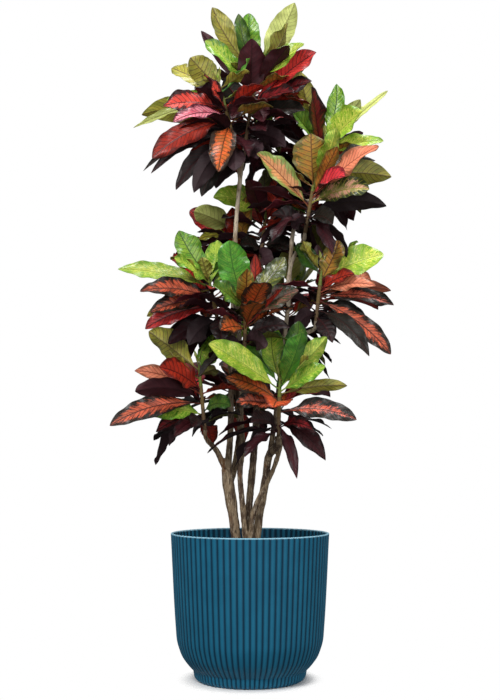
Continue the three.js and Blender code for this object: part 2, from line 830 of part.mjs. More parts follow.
// Whether a leaf has room between the wood and the leaves that are already laid. Close to its own
// shoot it may touch what it is fused to: the stretch of shoot and the leaves of its own age.
function hasRoom(leaf, crown, age, wood, laid) {
  const { base, blade } = leafSpots(leaf);
  const spots = [...base, ...blade];
  const middle = leafFrame(leaf, 0.5).centre;
  const reach = 0.6 * leaf.length + 0.5 * leaf.width;
  for (const { at, radius, owner } of wood) {
    if (at.distanceTo(middle) > reach + radius + STEM_CLEARANCE) continue;
    if (tooNear(blade, [at], radius + STEM_CLEARANCE)) return false;
    if (owner !== crown + age && tooNear(base, [at], radius + BASE_CLEARANCE)) return false;
  }
  for (const other of laid) {
    if (other.middle.distanceTo(middle) > reach + other.reach + LEAF_CLEARANCE) continue;
    if (other.crown !== crown) {
      if (tooNear(spots, other.spots, LEAF_CLEARANCE)) return false;
    } else {
      if (tooNear(blade, other.blade, CROWN_CLEARANCE)) return false;
      if (other.age !== age && tooNear(spots, other.spots, AGE_CLEARANCE)) return false;
    }
  }
  laid.push({ crown, age, spots, blade, middle, reach });
  return true;
}

const inRadians = (degrees) => (degrees * Math.PI) / 180;

// The bends that a leaf tries, from none to the furthest, until it has room.
const TIP_SHIFTS = [0, -18, 18, -36, 36, -56, 56, -76, 76];
const TIP_RISES = [0, 12, -12];
const LENGTHS = [1, 0.84, 0.7];
const BOWS = [0.18, 0.32, 0.46]; // how far an upright leaf swings out from its shoot, for its length
const SWINGS = [0, 12, -12, 26, -26, 42, -42].map(inRadians);
const LIFTS = [0, 9, -9, 18].map(inRadians);

function traitsFrom(draw) {
  return {
    turn: draw.between(-0.2, 0.2),
    fold: draw.between(0.12, 0.4),
    wave: draw.between(1.5, 4.5),
    waves: draw.between(2.2, 4.2),
    phase: draw.between(0, 2 * Math.PI),
  };
}

// The first clear leaf among a row's own place and the shifts of its tip, or nothing.
function layRow(row, root, heart, arch, traits, fits) {
  const [, right, back, rise, width, face] = row;
  for (const scale of LENGTHS) {
    for (const bow of BOWS) {
      for (const high of TIP_RISES) {
        for (const shift of TIP_SHIFTS) {
          const aim = new THREE.Vector3(heart.x + right, heart.y + back + shift, heart.z + rise + high);
          const tip = root.clone().lerp(aim, scale);
          const leaf = makeLeaf(root, tip, width, face, arch, bow, traits);
          if (fits(leaf)) return leaf;
        }
      }
    }
  }
  return null;
}

// The first clear leaf that grows by rule from a root in a direction, or nothing.
function layByRule(root, heading, lift, length, width, arch, traits, fits) {
  for (const scale of LENGTHS) {
    for (const tilt of LIFTS) {
      for (const swing of SWINGS) {
        const level = Math.cos(lift + tilt);
        const ahead = new THREE.Vector3(
          level * Math.cos(heading + swing), level * Math.sin(heading + swing), Math.sin(lift + tilt),
        );
        const tip = along(root, ahead, length * scale);
        const leaf = makeLeaf(root, tip, width * Math.sqrt(scale), UP, arch, BOWS[1], traits);
        if (fits(leaf)) return leaf;
      }
    }
  }
  return null;
}

// All leaves of all crowns: first those that have a row, then those that the rule adds.
function layOut() {
  const draw = new Draw(SEED);
  const wood = woodSpots();
  const laid = [];
  const leaves = [];
  let missed = 0;
  const keep = (leaf, crown, age) => {
    if (leaf) leaves.push({ ...leaf, crown: crown.name, age });
    else missed += 1;
  };
  const rootOf = (crown, age, place) => {
    const { foot, tip } = shootOf(crown);
    return foot.lerp(tip, mix(AGES[age].to - ROOTLESS_SHARE, AGES[age].from, place));
  };
  for (const crown of CROWNS) {
    for (const age of Object.keys(AGES)) {
      const fits = (leaf) => hasRoom(leaf, crown.name, age, wood, laid);
      const rows = crown.leaves.filter((row) => AGES[age].kinds.includes(row[0]));
      rows.forEach((row, i) => {
        const root = rootOf(crown, age, (i + 0.8) / (rows.length + 0.8));
        const traits = traitsFrom(draw);
        keep(layRow(row, root, vector(crown.heart), HABIT[age].arch, traits, fits), crown, age);
      });
    }
  }
  for (const crown of CROWNS) {
    Object.keys(AGES).forEach((age, column) => {
      const fits = (leaf) => hasRoom(leaf, crown.name, age, wood, laid);
      const habit = HABIT[age];
      const count = crown.fill[column];
      for (let i = 0; i < count; i += 1) {
        const root = rootOf(crown, age, (i + 0.9) / (count + 0.6));
        const turn = ((i * 3 + column) * GOLDEN_ANGLE) % (2 * Math.PI);
        const heading = crown.middle + (turn / Math.PI - 1) * 0.5 * crown.spread;
        const lift = draw.between(...habit.lift);
        const length = draw.between(...habit.length);
        const width = draw.between(...habit.width);
        const traits = traitsFrom(draw);
        keep(layByRule(root, heading, lift, length, width, habit.arch, traits, fits), crown, age);
      }
    });
  }
  return { leaves, missed };
}

// ---- Building ----

const root = new THREE.Group();

// Solids made one, with its thinnest facets merged.
function fused(solids) {
  return wasm.Manifold.union(solids).asOriginal().simplify(SLIVER);
}

function addMesh(name, solid, color, roughness) {
  const material = new THREE.MeshStandardMaterial({ color, roughness, metalness: 0 });
  const mesh = new THREE.Mesh(geometryFrom(solid), material);
  mesh.name = name;
  root.add(mesh);
}

// One age's stretch of a shoot, with the leaves that grow from it.
function crownSolid(crown, age, leaves) {
  const { from, to } = AGES[age];
  const { foot, tip, ahead } = shootOf(crown);
  const start = along(foot.clone().lerp(tip, from), ahead, GAP);
  const end = foot.clone().lerp(tip, to);
  const endRadius = to === 1 ? 0.5 * SHOOT_RADIUS : SHOOT_RADIUS;
  const shoot = bar([start, end], [SHOOT_RADIUS, endRadius], SHOOT_SIDES);
  return fused([shoot, ...leaves.map(leafSolid)]);
}

addMesh("cover_pot", potSolid(), 0x1f5f82, 0.6);
addMesh("soil", soilSolid(), 0x3a2a1e, 0.95);
for (const [name, stems] of Object.entries(TRUNKS)) {
  const sides = (stem) => (Math.max(...stem.radii) > THICK_STEM ? STEM_SIDES : BRANCH_SIDES);
  const bars = stems.map((stem) => bar(stemRoute(stem), stem.radii, sides(stem)));
  addMesh(name, fused(bars), 0x7d6a57, 0.85);
}
const { leaves, missed } = layOut();
for (const crown of CROWNS) {
  for (const [age, { color }] of Object.entries(AGES)) {
    const own = leaves.filter((leaf) => leaf.crown === crown.name && leaf.age === age);
    addMesh(`crown_${crown.name}_${age}`, crownSolid(crown, age, own), color, 0.5);
  }
}
console.log(`${leaves.length} leaves laid, ${missed} left out for want of room`);

export default root;
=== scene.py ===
"""The look of the potted croton: fine leaves, bark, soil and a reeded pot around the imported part.

Lengths are in millimetres until a mesh is made. The leaves are laid out by the same rule and the
same seeded draws as in the part's source, so that each fine leaf lies where its solid is.
"""
import math
from itertools import product

import bmesh
import bpy
import numpy as np
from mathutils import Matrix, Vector, noise


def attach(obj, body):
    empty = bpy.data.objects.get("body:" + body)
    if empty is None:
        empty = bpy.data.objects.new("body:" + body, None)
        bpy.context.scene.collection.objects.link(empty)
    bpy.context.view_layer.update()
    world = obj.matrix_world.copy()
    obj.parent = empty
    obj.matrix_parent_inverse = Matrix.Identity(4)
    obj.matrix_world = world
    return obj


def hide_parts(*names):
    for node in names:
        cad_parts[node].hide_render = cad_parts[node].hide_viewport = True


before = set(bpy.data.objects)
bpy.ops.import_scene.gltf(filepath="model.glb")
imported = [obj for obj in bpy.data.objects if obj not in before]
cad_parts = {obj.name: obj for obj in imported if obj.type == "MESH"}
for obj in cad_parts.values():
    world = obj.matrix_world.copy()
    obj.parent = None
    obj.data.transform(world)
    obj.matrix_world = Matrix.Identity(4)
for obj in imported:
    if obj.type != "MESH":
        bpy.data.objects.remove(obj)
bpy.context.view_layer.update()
MM = 0.001

# ---- The plant's tables ----

# A blade's outline: the petiole's share of a leaf, the wedge at its base, and how its sides round off.
PETIOLE_SHARE = 0.09
WEDGE_SHARE = 0.25
WEDGE_START = 0.35
TIP_DRIFT = 1.12
SQUARENESS = 2.5
BLUNTNESS = 0.75
FULL_WAVE = 12  # half width from which a blade's margin waves in full
POT_HEIGHT = 315
STEM_ROOT = 219  # height of the stems' lower ends
SHOOT_FOOT = 40  # from a shoot's foot to its heart
SHOOT_RADIUS = 4.6
STEM_END = 16  # a stem's last straight stretch, before the shoot
GAP = 0.3  # between one node and the next
# Clear room between leaves of different crowns, between leaves of one crown, between leaves and stems,
# between a leaf's base and foreign wood, and between leaves of one crown's different ages.
LEAF_CLEARANCE = 11
CROWN_CLEARANCE = 8
STEM_CLEARANCE = 7
BASE_CLEARANCE = 2.8
AGE_CLEARANCE = 5.2
BASE_SHARE = 0.3  # the share of a blade that counts as its base
ROOTLESS_SHARE = 0.02  # the share of a shoot's stretch above the first leaf
SPOT_STEP = 9  # between the spots that stand for leaves and stems
GOLDEN_ANGLE = math.pi * (3 - math.sqrt(5))
SEED = 20611

# The way a leaf turns its upper face: towards the front, to the back, or up as it grows.
FRONT = -2.2
BACK = 2.2
UP = 0

# The share of a shoot that each age of leaf takes.
AGES = {"young": (0.68, 1), "mature": (0.34, 0.68), "old": (0, 0.34)}

# How a leaf of each age that no row describes grows, and its look.
HABIT = {
    "young": {"length": (120, 160), "width": (44, 56), "lift": (0.75, 1.2), "arch": 0.05},
    "mature": {"length": (140, 185), "width": (50, 64), "lift": (0.1, 0.6), "arch": 0.09},
    "old": {"length": (130, 170), "width": (44, 56), "lift": (-0.75, -0.15), "arch": 0.13},
}
RULE_LOOK = {"young": "green", "mature": "red", "old": "dark"}

# The short leaves that fill the inside of each crown, and how far they ease the clearances.
INNER_LEAVES = {"young": 4, "mature": 11, "old": 12}
OPEN_CROWNS = ("07", "08", "09", "10", "14")  # these have half as many
INNER_FAN = 2.2  # radians to each side of straight back, which leaves the front free
INNER_HABIT = {
    "young": {"length": (65, 105), "width": (28, 38), "lift": (0.3, 1.0)},
    "mature": {"length": (90, 145), "width": (36, 50), "lift": (-0.2, 0.8)},
    "old": {"length": (85, 150), "width": (36, 50), "lift": (-0.9, 0.3)},
}
INNER_LOOKS = {
    "young": ("olive", "green", "bronze", "leafy"),
    "mature": ("brick", "maroon", "red", "ember", "maroon", "bronze"),
    "old": ("dark", "maroon", "dark", "brick", "dark", "deep"),
}
INNER_EASE = 0.36

# The bends that a leaf tries, from none to the furthest, until it has room. Angles are in degrees.
TIP_SHIFTS = (0, -18, 18, -36, 36, -56, 56, -76, 76)
TIP_RISES = (0, 12, -12)
LENGTHS = (1, 0.84, 0.7)
BOWS = (0.18, 0.32, 0.46)
SWINGS = (0, 12, -12, 26, -26, 42, -42)
LIFTS = (0, 9, -9, 18)

# The looks of the leaves that the rule adds, where a crown's differ from RULE_LOOK.
OWN_LOOKS = {
    ("02", "young"): "leafy", ("03", "young"): "leafy", ("04", "young"): "lime", ("07", "young"): "bronze",
    ("09", "young"): "leafy", ("12", "young"): "olive", ("05", "mature"): "brick", ("07", "mature"): "ember",
}

# The crowns. A crown's line gives the heart and tip of its shoot, how many leaves of each age (young,
# mature, old) a rule adds, and the middle direction and spread of their fan. The leaves of each age
# follow: a leaf's look, its tip to the right of, behind and above the heart, its width and facing.
# Crown 07's second young leaf has the moss look, a darker copy of olive: painted shade.
# Crown 11's first young leaf has the pale look in place of olive: painted light, lighter than the leaf's own
# colour.
CROWN_TABLE = """
crown 01  heart -5 -10 1233  tip 16 -15 1385  fill 2 3 4  fan 1.6 2.8
young
pale 109 10 301 58 back
olive -83 15 292 48 back
green 3 -30 258 48 front
olive -76 -25 255 40 back
deep -21 -45 243 34 front
lime 127 -60 174 50 front
green -97 -30 186 50 front
mature
plum 83 40 237 34 back
plum -111 45 255 32 back
maroon -36 -80 -6 42 front
red 36 -85 -14 42 back
plum 9 -60 179 64 back
red 156 -50 165 68 front
maroon 101 -90 46 46 front
maroon 146 -25 100 42 front
old
dark -47 -80 113 54 front
dark 128 -70 15 48 front
dark 40 -100 -35 48 front
dark 85 -45 -60 46 back
dark 22 -60 -92 44 back
crown 02  heart -42 -40 1214  tip -68 -74 1311  fill 1 2 3  fan 2.2 1.8
young
olive -92 -40 157 60 back
olive -139 -20 161 50 front
green -150 30 84 32 front
pale -226 40 21 22 front
mature
red -151 -45 55 60 front
red -58 -110 92 38 front
candy -123 -85 -18 42 front
brick -177 -20 -68 62 front
ember -27 -85 -117 60 front
old
olive -211 0 63 62 back
dark -200 20 -86 22 front
dark -180 -10 -100 24 front
dark -122 -35 -144 40 front
dark -80 -60 -161 46 back
dark -66 -15 -154 42 front
dark 8 -70 -115 48 back
crown 03  heart 160 60 1134  tip 176 55 1233  fill 1 3 2  fan 1.2 2.6
young
olive -40 -15 250 52 back
green 44 -10 223 42 front
green -41 20 223 38 front
pale 166 0 210 22 front
pale 96 -30 172 40 back
lime 96 -70 130 84 front
green -71 -85 142 60 front
lime 148 -50 73 42 front
mature
maroon -23 -80 171 48 front
maroon 67 10 180 28 back
maroon 115 20 132 36 back
old
dark -88 -40 64 52 front
dark -100 -20 2 50 back
dark 132 -20 35 46 front
dark 10 -70 0 46 front
crown 04  heart 130 -50 1019  tip 147 -75 1112  fill 1 2 2  fan 1.0 2.4
young
olive 187 0 87 62 back
inked 145 -15 139 50 front
lime 60 10 165 38 back
bronze 4 -55 170 86 back
mature
red 72 -95 57 66 front
salmon 143 -60 105 54 front
blotched 128 -80 38 66 front
tan -115 -55 125 60 front
old
dark 174 -45 18 44 back
dark 48 -85 -40 50 front
dark -34 -60 -46 40 back
dark -82 -20 -4 42 front
crown 05  heart 28 50 971  tip 42 60 1080  fill 1 1 2  fan 1.7 2.6
young
lime -112 -42 102 72 front
deep 5 -20 165 40 back
mature
brick 55 -30 165 50 back
brick -30 -35 155 46 back
brick 95 -20 90 50 front
old
dark 70 -60 -20 48 front
dark -50 -50 -10 40 front
dark 5 -70 -60 46 back
crown 06  heart -75 -60 799  tip -92 -90 877  fill 1 2 2  fan 2.4 2.0
young
green -80 -40 174 58 front
green -29 -55 112 32 back
green -84 -80 98 42 front
lime -216 -10 94 48 front
olive -156 40 -4 34 back
mature
red -2 -120 44 32 front
coral -160 -40 34 50 front
coral -140 -70 -8 48 front
red -152 -35 -42 50 front
old
dark 15 -55 -74 42 front
dark -56 -60 -80 48 back
dark -105 10 -70 42 front
crown 07  heart -11 -120 748  tip -9 -140 814  fill 0 2 1  fan -1.5 4.0
young
leafy -32 -25 190 70 front
moss 86 5 164 50 front
deep -66 -35 88 48 front
bronze 5 -50 122 42 front
mature
inked 116 -40 93 58 front
brick 22 15 172 38 back
ember -50 -55 -4 48 front
old
dark 95 -45 6 42 front
dark 42 -60 -42 42 back
dark -52 -20 -50 40 back
crown 08  heart 151 -40 822  tip 159 -60 897  fill 1 2 2  fan 0.9 2.0
young
plum 0 10 134 24 back
deep -46 -15 132 48 front
lime 145 -20 106 72 front
bronze 44 -40 134 48 front
mature
salmon 128 5 78 42 front
brick 76 -80 54 34 front
salmon 120 -80 26 36 front
amber 165 15 30 30 back
charred 162 -50 -12 42 front
coral 156 -35 -118 46 front
old
dark 118 -10 -50 42 front
dark 102 -60 -128 40 front
dark -48 -40 -60 40 back
dark 28 -65 -94 42 front
crown 09  heart 62 -100 565  tip 64 -120 649  fill 1 2 2  fan 1.2 3.2
young
green -14 -5 208 52 front
deep 42 10 206 50 front
leafy -72 25 200 48 front
lime 104 -20 174 50 back
lime -148 -30 150 64 front
green 96 -60 106 42 front
olive 146 -10 68 30 back
mature
ember -114 -35 84 52 front
orange -14 -115 16 66 front
coral -92 -70 32 46 front
charred 162 -45 -6 48 front
old
maroon 97 -35 -91 40 front
dark 34 -90 -128 26 front
maroon 70 -75 -30 30 front
dark -60 -60 -14 48 front
crown 10  heart -103 -40 580  tip -112 -60 682  fill 1 2 2  fan 2.2 2.2
young
olive -124 -10 182 70 back
deep 30 -60 90 34 back
deep -122 20 16 30 front
mature
brick -89 -55 90 62 front
salmon -146 0 86 40 front
maroon -138 -40 50 46 back
coral -198 -20 -32 50 front
old
deep 62 -75 8 42 front
green -108 -60 -12 50 front
maroon -104 -15 -44 34 front
maroon -58 -60 -56 34 front
dark -18 -75 -36 46 front
crown 11  heart -28 100 940  tip -36 110 1032  fill 3 4 3  fan 1.9 2.6
young
pale -102 -55 109 56 back
olive -91 -60 43 24 front
mature
red -117 -25 132 62 front
brick -14 -60 118 40 front
old
dark -50 -60 8 36 back
crown 12  heart 48 100 1212  tip 53 120 1342  fill 3 4 1  fan 1.5 4.2
young
green -30 -60 30 44 front
green 40 -70 60 44 front
old
dark -40 -60 -70 48 front
dark 14 -70 -120 50 front
dark 60 -50 -60 48 front
crown 13  heart 83 110 780  tip 95 130 890  fill 3 4 4  fan 1.2 4.6
crown 14  heart -35 100 614  tip -52 120 710  fill 3 4 4  fan 1.9 4.6
"""


def numbers(words):
    return [float(word) for word in words]


def crown_table(text):
    crowns, faces, age = [], {"front": FRONT, "back": BACK}, None
    for first, *words in (line.split() for line in text.strip().split("\n")):
        if first == "crown":
            crowns.append({
                "name": words[0], "heart": numbers(words[2:5]), "tip": numbers(words[6:9]),
                "fill": [int(word) for word in words[10:13]],
                "middle": float(words[14]), "spread": float(words[15]), "rows": {key: [] for key in AGES},
            })
        elif first in AGES:
            age = first
        else:
            crowns[-1]["rows"][age].append((first, *numbers(words[:4]), faces[words[4]]))
    return crowns


CROWNS = crown_table(CROWN_TABLE)

# The stems of each trunk: the way each takes, its radii along it, and the crown that it leads to.
TRUNKS = {
    "trunk_left": [
        ([
            (-30, -8, STEM_ROOT), (-30, -8, 293), (-40, -11, 374), (-49, -15, 429), (-52, -18, 455),
        ], (10.5, 10.5, 11.5, 13, 11.5), ""),
        ([(-52, -18, 449), (-61, -20, 470), (-75, -24, 497)], (7, 4.8), "10"),
        ([
            (-50, -16, 443), (-46, -22, 493), (-43, -32, 539), (-42, -48, 639), (-40, -60, 724),
        ], (8, 4.8), "06"),
        ([
            (-46, -12, 417), (-37, 5, 449), (-28, 15, 493), (-22, 32, 569), (-24, 62, 729),
            (-27, 90, 869),
        ], (7.5, 5.2), "11"),
        ([(-23, 28, 537), (-25, 58, 543)], (4.8, 4.6), "14"),
    ],
    "trunk_right": [
        ([(1, -12, STEM_ROOT), (1, -12, 293), (2, -11, 315)], (18.5, 18.5, 12), ""),
        ([
            (-9, -18, 289), (-14, -25, 354), (-22, -30, 451), (-18, -30, 489), (-19, -29, 554),
            (-31, -25, 641), (-37, -20, 749), (-37, -20, 859), (-34, -20, 964), (-27, -20, 1061),
            (-19, -18, 1139),
        ], (6.6, 4.8), "01"),
        ([(-22, -19, 1107), (-25, -22, 1131)], (4.8, 4.6), "02"),
        ([(-31, -25, 634), (-24, -60, 671)], (4.8, 4.6), "07"),
        ([
            (-1, -4, 289), (-3, 6, 353), (4, 14, 437), (13, 20, 544), (16, 30, 659), (17, 40, 841),
        ], (8.8, 6), "05"),
        ([(17, 41, 824), (24, 72, 909), (36, 88, 1049)], (4.8, 4.6), "12"),
        ([(16, 31, 677), (42, 64, 697)], (5, 4.6), "13"),
        ([(12, -8, 289), (23, -11, 367), (33, -20, 422), (42, -42, 485)], (9.5, 8), "09"),
        ([
            (38, -34, 461), (50, -44, 529), (66, -30, 651), (79, -25, 764), (88, -25, 864),
            (86, -30, 870), (97, -33, 924),
        ], (6.2, 4.6), "04"),
        ([(78, -25, 737), (108, -24, 751)], (4.8, 4.6), "08"),
        ([(88, -25, 862), (92, -12, 930), (98, -2, 990), (122, 30, 1069)], (4.8, 4.6), "03"),
        ([
            (3, -20, 289), (4, -31, 341), (15, -37, 381), (33, -43, 417), (50, -48, 453),
            (71, -56, 517),
        ], (6.5, 4.6), ""),
    ],
}

# ---- Seeded draws and vectors ----


class Draw:
    def __init__(self, seed):
        self.state = seed

    def between(self, low, high):
        self.state = self.state * 16807 % 2147483647
        return low + (high - low) * self.state / 2147483647


def point(values):
    return np.array(values, float)


def mix(a, b, share):
    return a + (b - a) * share


def unit(vector):
    return vector / (math.sqrt(float(vector @ vector)) or 1.0)


# ---- The leaf's surface ----


class Leaf:
    """An arc from root through bend to tip, with a blade folded along its midrib and waved."""

    def __init__(self, root, tip, width, face, arch, bow, traits):
        chord = tip - root
        self.length = math.sqrt(float(chord @ chord))
        ahead = unit(chord)
        rise = point((0, 0, 1)) - ahead * ahead[2]
        out = point((ahead[0], ahead[1], 0))
        self.bend = root + chord * 0.5 + rise * (2 * arch * self.length)
        self.bend = self.bend + unit(out) * (bow * self.length * max(ahead[2], 0))
        self.root, self.tip, self.width = root, tip, width
        self.facing = point((-0.5 * out[0], -0.5 * out[1] + face + traits["turn"], 1))
        self.traits = traits


def outline(share):
    """The half width of a blade at a share of its length, out of 1 at its widest."""
    place = np.minimum(1, np.abs(2 * np.power(share, TIP_DRIFT) - 1))
    wedge = np.minimum(1, mix(WEDGE_START, 1, share / WEDGE_SHARE))
    return wedge * np.power(1 - np.power(place, SQUARENESS), BLUNTNESS)


def frames(leaf, t):
    """The midrib's places, and the directions along, out of and across the blade, at shares t."""
    t = np.atleast_1d(np.asarray(t, float))[:, None]
    s = 1 - t
    centre = leaf.root * s * s + leaf.bend * 2 * s * t + leaf.tip * t * t
    ahead = (leaf.bend - leaf.root) * s + (leaf.tip - leaf.bend) * t
    ahead /= np.linalg.norm(ahead, axis=1)[:, None]
    normal = leaf.facing - ahead * (ahead @ leaf.facing)[:, None]
    normal /= np.linalg.norm(normal, axis=1)[:, None]
    return centre, ahead, normal, np.cross(normal, ahead)


def blade(leaf, share, across, half=None):
    """Points of the blade's middle surface, for each share and each place across."""
    traits = leaf.traits
    across = np.asarray(across, float)
    centre, _, normal, side = frames(leaf, PETIOLE_SHARE + (1 - PETIOLE_SHARE) * share)
    if half is None:
        half = 0.5 * leaf.width * outline(share)
    half = half.reshape(len(share), -1)
    phase = traits["waves"] * share[:, None] * math.pi + traits["phase"] + across[None, :]
    swell = np.sin(phase) * np.minimum(1, half / FULL_WAVE)
    lift = half * np.abs(across)[None, :] * math.sin(traits["fold"])
    lift = lift + traits["wave"] * swell * across[None, :] ** 2
    spread = half * across[None, :] * math.cos(traits["fold"])
    return centre[:, None, :] + side[:, None, :] * spread[:, :, None] + normal[:, None, :] * lift[:, :, None]


# ---- Laying the plant out ----


def shoot_of(crown):
    tip = point(crown["tip"])
    ahead = unit(tip - point(crown["heart"]))
    return point(crown["heart"]) - ahead * SHOOT_FOOT, tip, ahead


def stem_route(stem):
    route, _, name = stem
    route = [point(place) for place in route]
    if name:
        foot, _, ahead = shoot_of(next(crown for crown in CROWNS if crown["name"] == name))
        route += [foot - ahead * STEM_END, foot]
    return route


def wood_spots():
    """Spots on the stems that leaves keep away from: their places, radii and owners."""
    places, radii, owners = [], [], []

    def stretch(start, end, radius, owner):
        steps = math.ceil(np.linalg.norm(end - start) / SPOT_STEP)
        for i in range(steps + 1):
            places.append(mix(start, end, i / steps))
            radii.append(radius)
            owners.append(owner)

    for stems in TRUNKS.values():
        for stem in stems:
            route = stem_route(stem)
            for start, end in zip(route, route[1:]):
                stretch(start, end, max(stem[1]), "")
    for crown in CROWNS:
        foot, tip, _ = shoot_of(crown)
        for age, (low, high) in AGES.items():
            stretch(mix(foot, tip, low), mix(foot, tip, high), SHOOT_RADIUS, crown["name"] + age)
    return np.array(places), np.array(radii), np.array(owners)


def leaf_spots(leaf):
    base = frames(leaf, np.array([0.4, 0.7, 1]) * PETIOLE_SHARE)[0]
    steps = math.ceil(leaf.length / SPOT_STEP)
    share = np.arange(1, steps + 1) / steps
    spots = blade(leaf, share, (-1, -0.5, 0, 0.5, 1))
    low = share < BASE_SHARE
    return np.concatenate([base, spots[low].reshape(-1, 3)]), spots[~low].reshape(-1, 3)


def too_near(spots, others, distance):
    apart = spots[:, None, :] - others[None, :, :]
    return bool((np.einsum("ijk,ijk->ij", apart, apart) < distance * distance).any())


def has_room(leaf, crown, age, wood, laid, ease=1.0):
    """Whether a leaf has room between the wood and the leaves already laid, at eased clearances."""
    base, rest = leaf_spots(leaf)
    spots = np.concatenate([base, rest])
    middle = frames(leaf, 0.5)[0][0]
    reach = 0.6 * leaf.length + 0.5 * leaf.width
    places, radii, owners = wood
    near = np.linalg.norm(places - middle, axis=1) <= reach + radii + ease * STEM_CLEARANCE
    if near.any():
        away = np.linalg.norm(rest[:, None, :] - places[near][None], axis=2)
        if (away < radii[near][None] + ease * STEM_CLEARANCE).any():
            return False
        foreign = near & (owners != crown + age)
        away = np.linalg.norm(base[:, None, :] - places[foreign][None], axis=2)
        if (away < radii[foreign][None] + ease * BASE_CLEARANCE).any():
            return False
    for other in laid:
        apart = other["middle"] - middle
        if math.sqrt(float(apart @ apart)) > reach + other["reach"] + ease * LEAF_CLEARANCE:
            continue
        if other["crown"] != crown:
            if too_near(spots, other["spots"], ease * LEAF_CLEARANCE):
                return False
        elif too_near(rest, other["blade"], ease * CROWN_CLEARANCE):
            return False
        elif other["age"] != age and too_near(spots, other["spots"], ease * AGE_CLEARANCE):
            return False
    laid.append({
        "crown": crown, "age": age, "spots": spots, "blade": rest, "middle": middle, "reach": reach,
    })
    return True


def traits_from(draw):
    return {
        "turn": draw.between(-0.2, 0.2),
        "fold": draw.between(0.12, 0.4),
        "wave": draw.between(1.5, 4.5),
        "waves": draw.between(2.2, 4.2),
        "phase": draw.between(0, 2 * math.pi),
    }


def lay_row(row, root, heart, arch, traits, fits):
    """The first clear leaf among a row's own place and the shifts of its tip, or nothing."""
    right, back, rise, width, face = row[1:]
    for scale, bow, high, shift in product(LENGTHS, BOWS, TIP_RISES, TIP_SHIFTS):
        aim = point((heart[0] + right, heart[1] + back + shift, heart[2] + rise + high))
        leaf = Leaf(root, root + (aim - root) * scale, width, face, arch, bow, traits)
        if fits(leaf):
            return leaf
    return None


def lay_by_rule(root, heading, habit, arch, draw, fits):
    """The first clear leaf that grows by rule from a root in a direction, or nothing."""
    lift, length, width = (draw.between(*habit[key]) for key in ("lift", "length", "width"))
    traits = traits_from(draw)
    for scale, tilt, swing in product(LENGTHS, LIFTS, SWINGS):
        high = lift + math.radians(tilt)
        turn = heading + math.radians(swing)
        level = math.cos(high)
        ahead = point((level * math.cos(turn), level * math.sin(turn), math.sin(high)))
        tip = root + ahead * (length * scale)
        leaf = Leaf(root, tip, width * math.sqrt(scale), UP, arch, BOWS[1], traits)
        if fits(leaf):
            return leaf
    return None


def lay_out():
    """All leaves: first those that have a row, then those that the rule adds, then the inner ones."""
    draw, wood, laid, leaves = Draw(SEED), wood_spots(), [], []

    def each_age(ease=1.0):
        for crown in CROWNS:
            for column, age in enumerate(AGES):
                def fits(leaf):
                    return has_room(leaf, crown["name"], age, wood, laid, ease)
                yield crown, column, age, fits

    def keep(leaf, crown, age, look):
        if leaf is not None:
            leaf.crown, leaf.age, leaf.look = crown["name"], age, look
            leaves.append(leaf)

    def root_of(crown, age, place):
        foot, tip, _ = shoot_of(crown)
        low, high = AGES[age]
        return mix(foot, tip, mix(high - ROOTLESS_SHARE, low, place))

    for crown, _, age, fits in each_age():
        rows = crown["rows"][age]
        for i, row in enumerate(rows):
            root = root_of(crown, age, (i + 0.8) / (len(rows) + 0.8))
            traits = traits_from(draw)
            leaf = lay_row(row, root, crown["heart"], HABIT[age]["arch"], traits, fits)
            keep(leaf, crown, age, row[0])
    for crown, column, age, fits in each_age():
        count = crown["fill"][column]
        for i in range(count):
            root = root_of(crown, age, (i + 0.9) / (count + 0.6))
            turn = ((i * 3 + column) * GOLDEN_ANGLE) % (2 * math.pi)
            heading = crown["middle"] + (turn / math.pi - 1) * 0.5 * crown["spread"]
            leaf = lay_by_rule(root, heading, HABIT[age], HABIT[age]["arch"], draw, fits)
            keep(leaf, crown, age, OWN_LOOKS.get((crown["name"], age), RULE_LOOK[age]))
    # Short leaves all round each shoot close the gaps between the others.
    draw = Draw(SEED + 2)
    for crown, column, age, fits in each_age(INNER_EASE):
        foot, tip, _ = shoot_of(crown)
        low, high = AGES[age]
        count = INNER_LEAVES[age] // (2 if crown["name"] in OPEN_CROWNS else 1)
        for i in range(count):
            root = mix(foot, tip, draw.between(low + 0.02, high - ROOTLESS_SHARE))
            turn = (i * GOLDEN_ANGLE + column + draw.between(-0.4, 0.4)) % (2 * math.pi)
            heading = 0.5 * math.pi + (turn / math.pi - 1) * INNER_FAN
            leaf = lay_by_rule(root, heading, INNER_HABIT[age], HABIT[age]["arch"], draw, fits)
            keep(leaf, crown, age, INNER_LOOKS[age][i % len(INNER_LOOKS[age])])
    return leaves


# ---- Meshes ----


class Shape:
    """The vertices, faces and vertex values of one piece, gathered from its parts."""

    def __init__(self):
        self.vertices, self.faces, self.values, self.count = [], [], {}, 0

    def add(self, vertices, faces, **values):
        """Adds one part. Each value is one number or colour for the whole part, or one per vertex."""
        amount = len(vertices)
        self.vertices.append(np.asarray(vertices, float))
        self.faces.extend([corner + self.count for corner in face] for face in faces)
        for key, value in values.items():
            value = np.asarray(value, float)
            if value.ndim == 0:
                value = np.full(amount, float(value))
            elif value.ndim == 1 and len(value) != amount:
                value = np.tile(value, (amount, 1))
            self.values.setdefault(key, []).append(value)
        self.count += amount

    def made(self, name, material, sharp=50):
        """The piece as an object of the scene."""
        mesh = bpy.data.meshes.new(name)
        mesh.from_pydata((np.concatenate(self.vertices) * MM).tolist(), [], self.faces)
        for key, parts in self.values.items():
            values = np.concatenate(parts)
            if values.ndim == 1:
                layer = mesh.attributes.new(key, "FLOAT", "POINT")
                layer.data.foreach_set("value", values.astype(np.float32))
                continue
            if values.shape[1] == 3:
                values = np.concatenate([values, np.ones((len(values), 1))], axis=1)
            layer = mesh.attributes.new(key, "FLOAT_COLOR", "POINT")
            layer.data.foreach_set("color", values.astype(np.float32).ravel())
        finish_mesh(mesh, sharp)
        mesh.materials.append(material)
        return link(name, mesh)


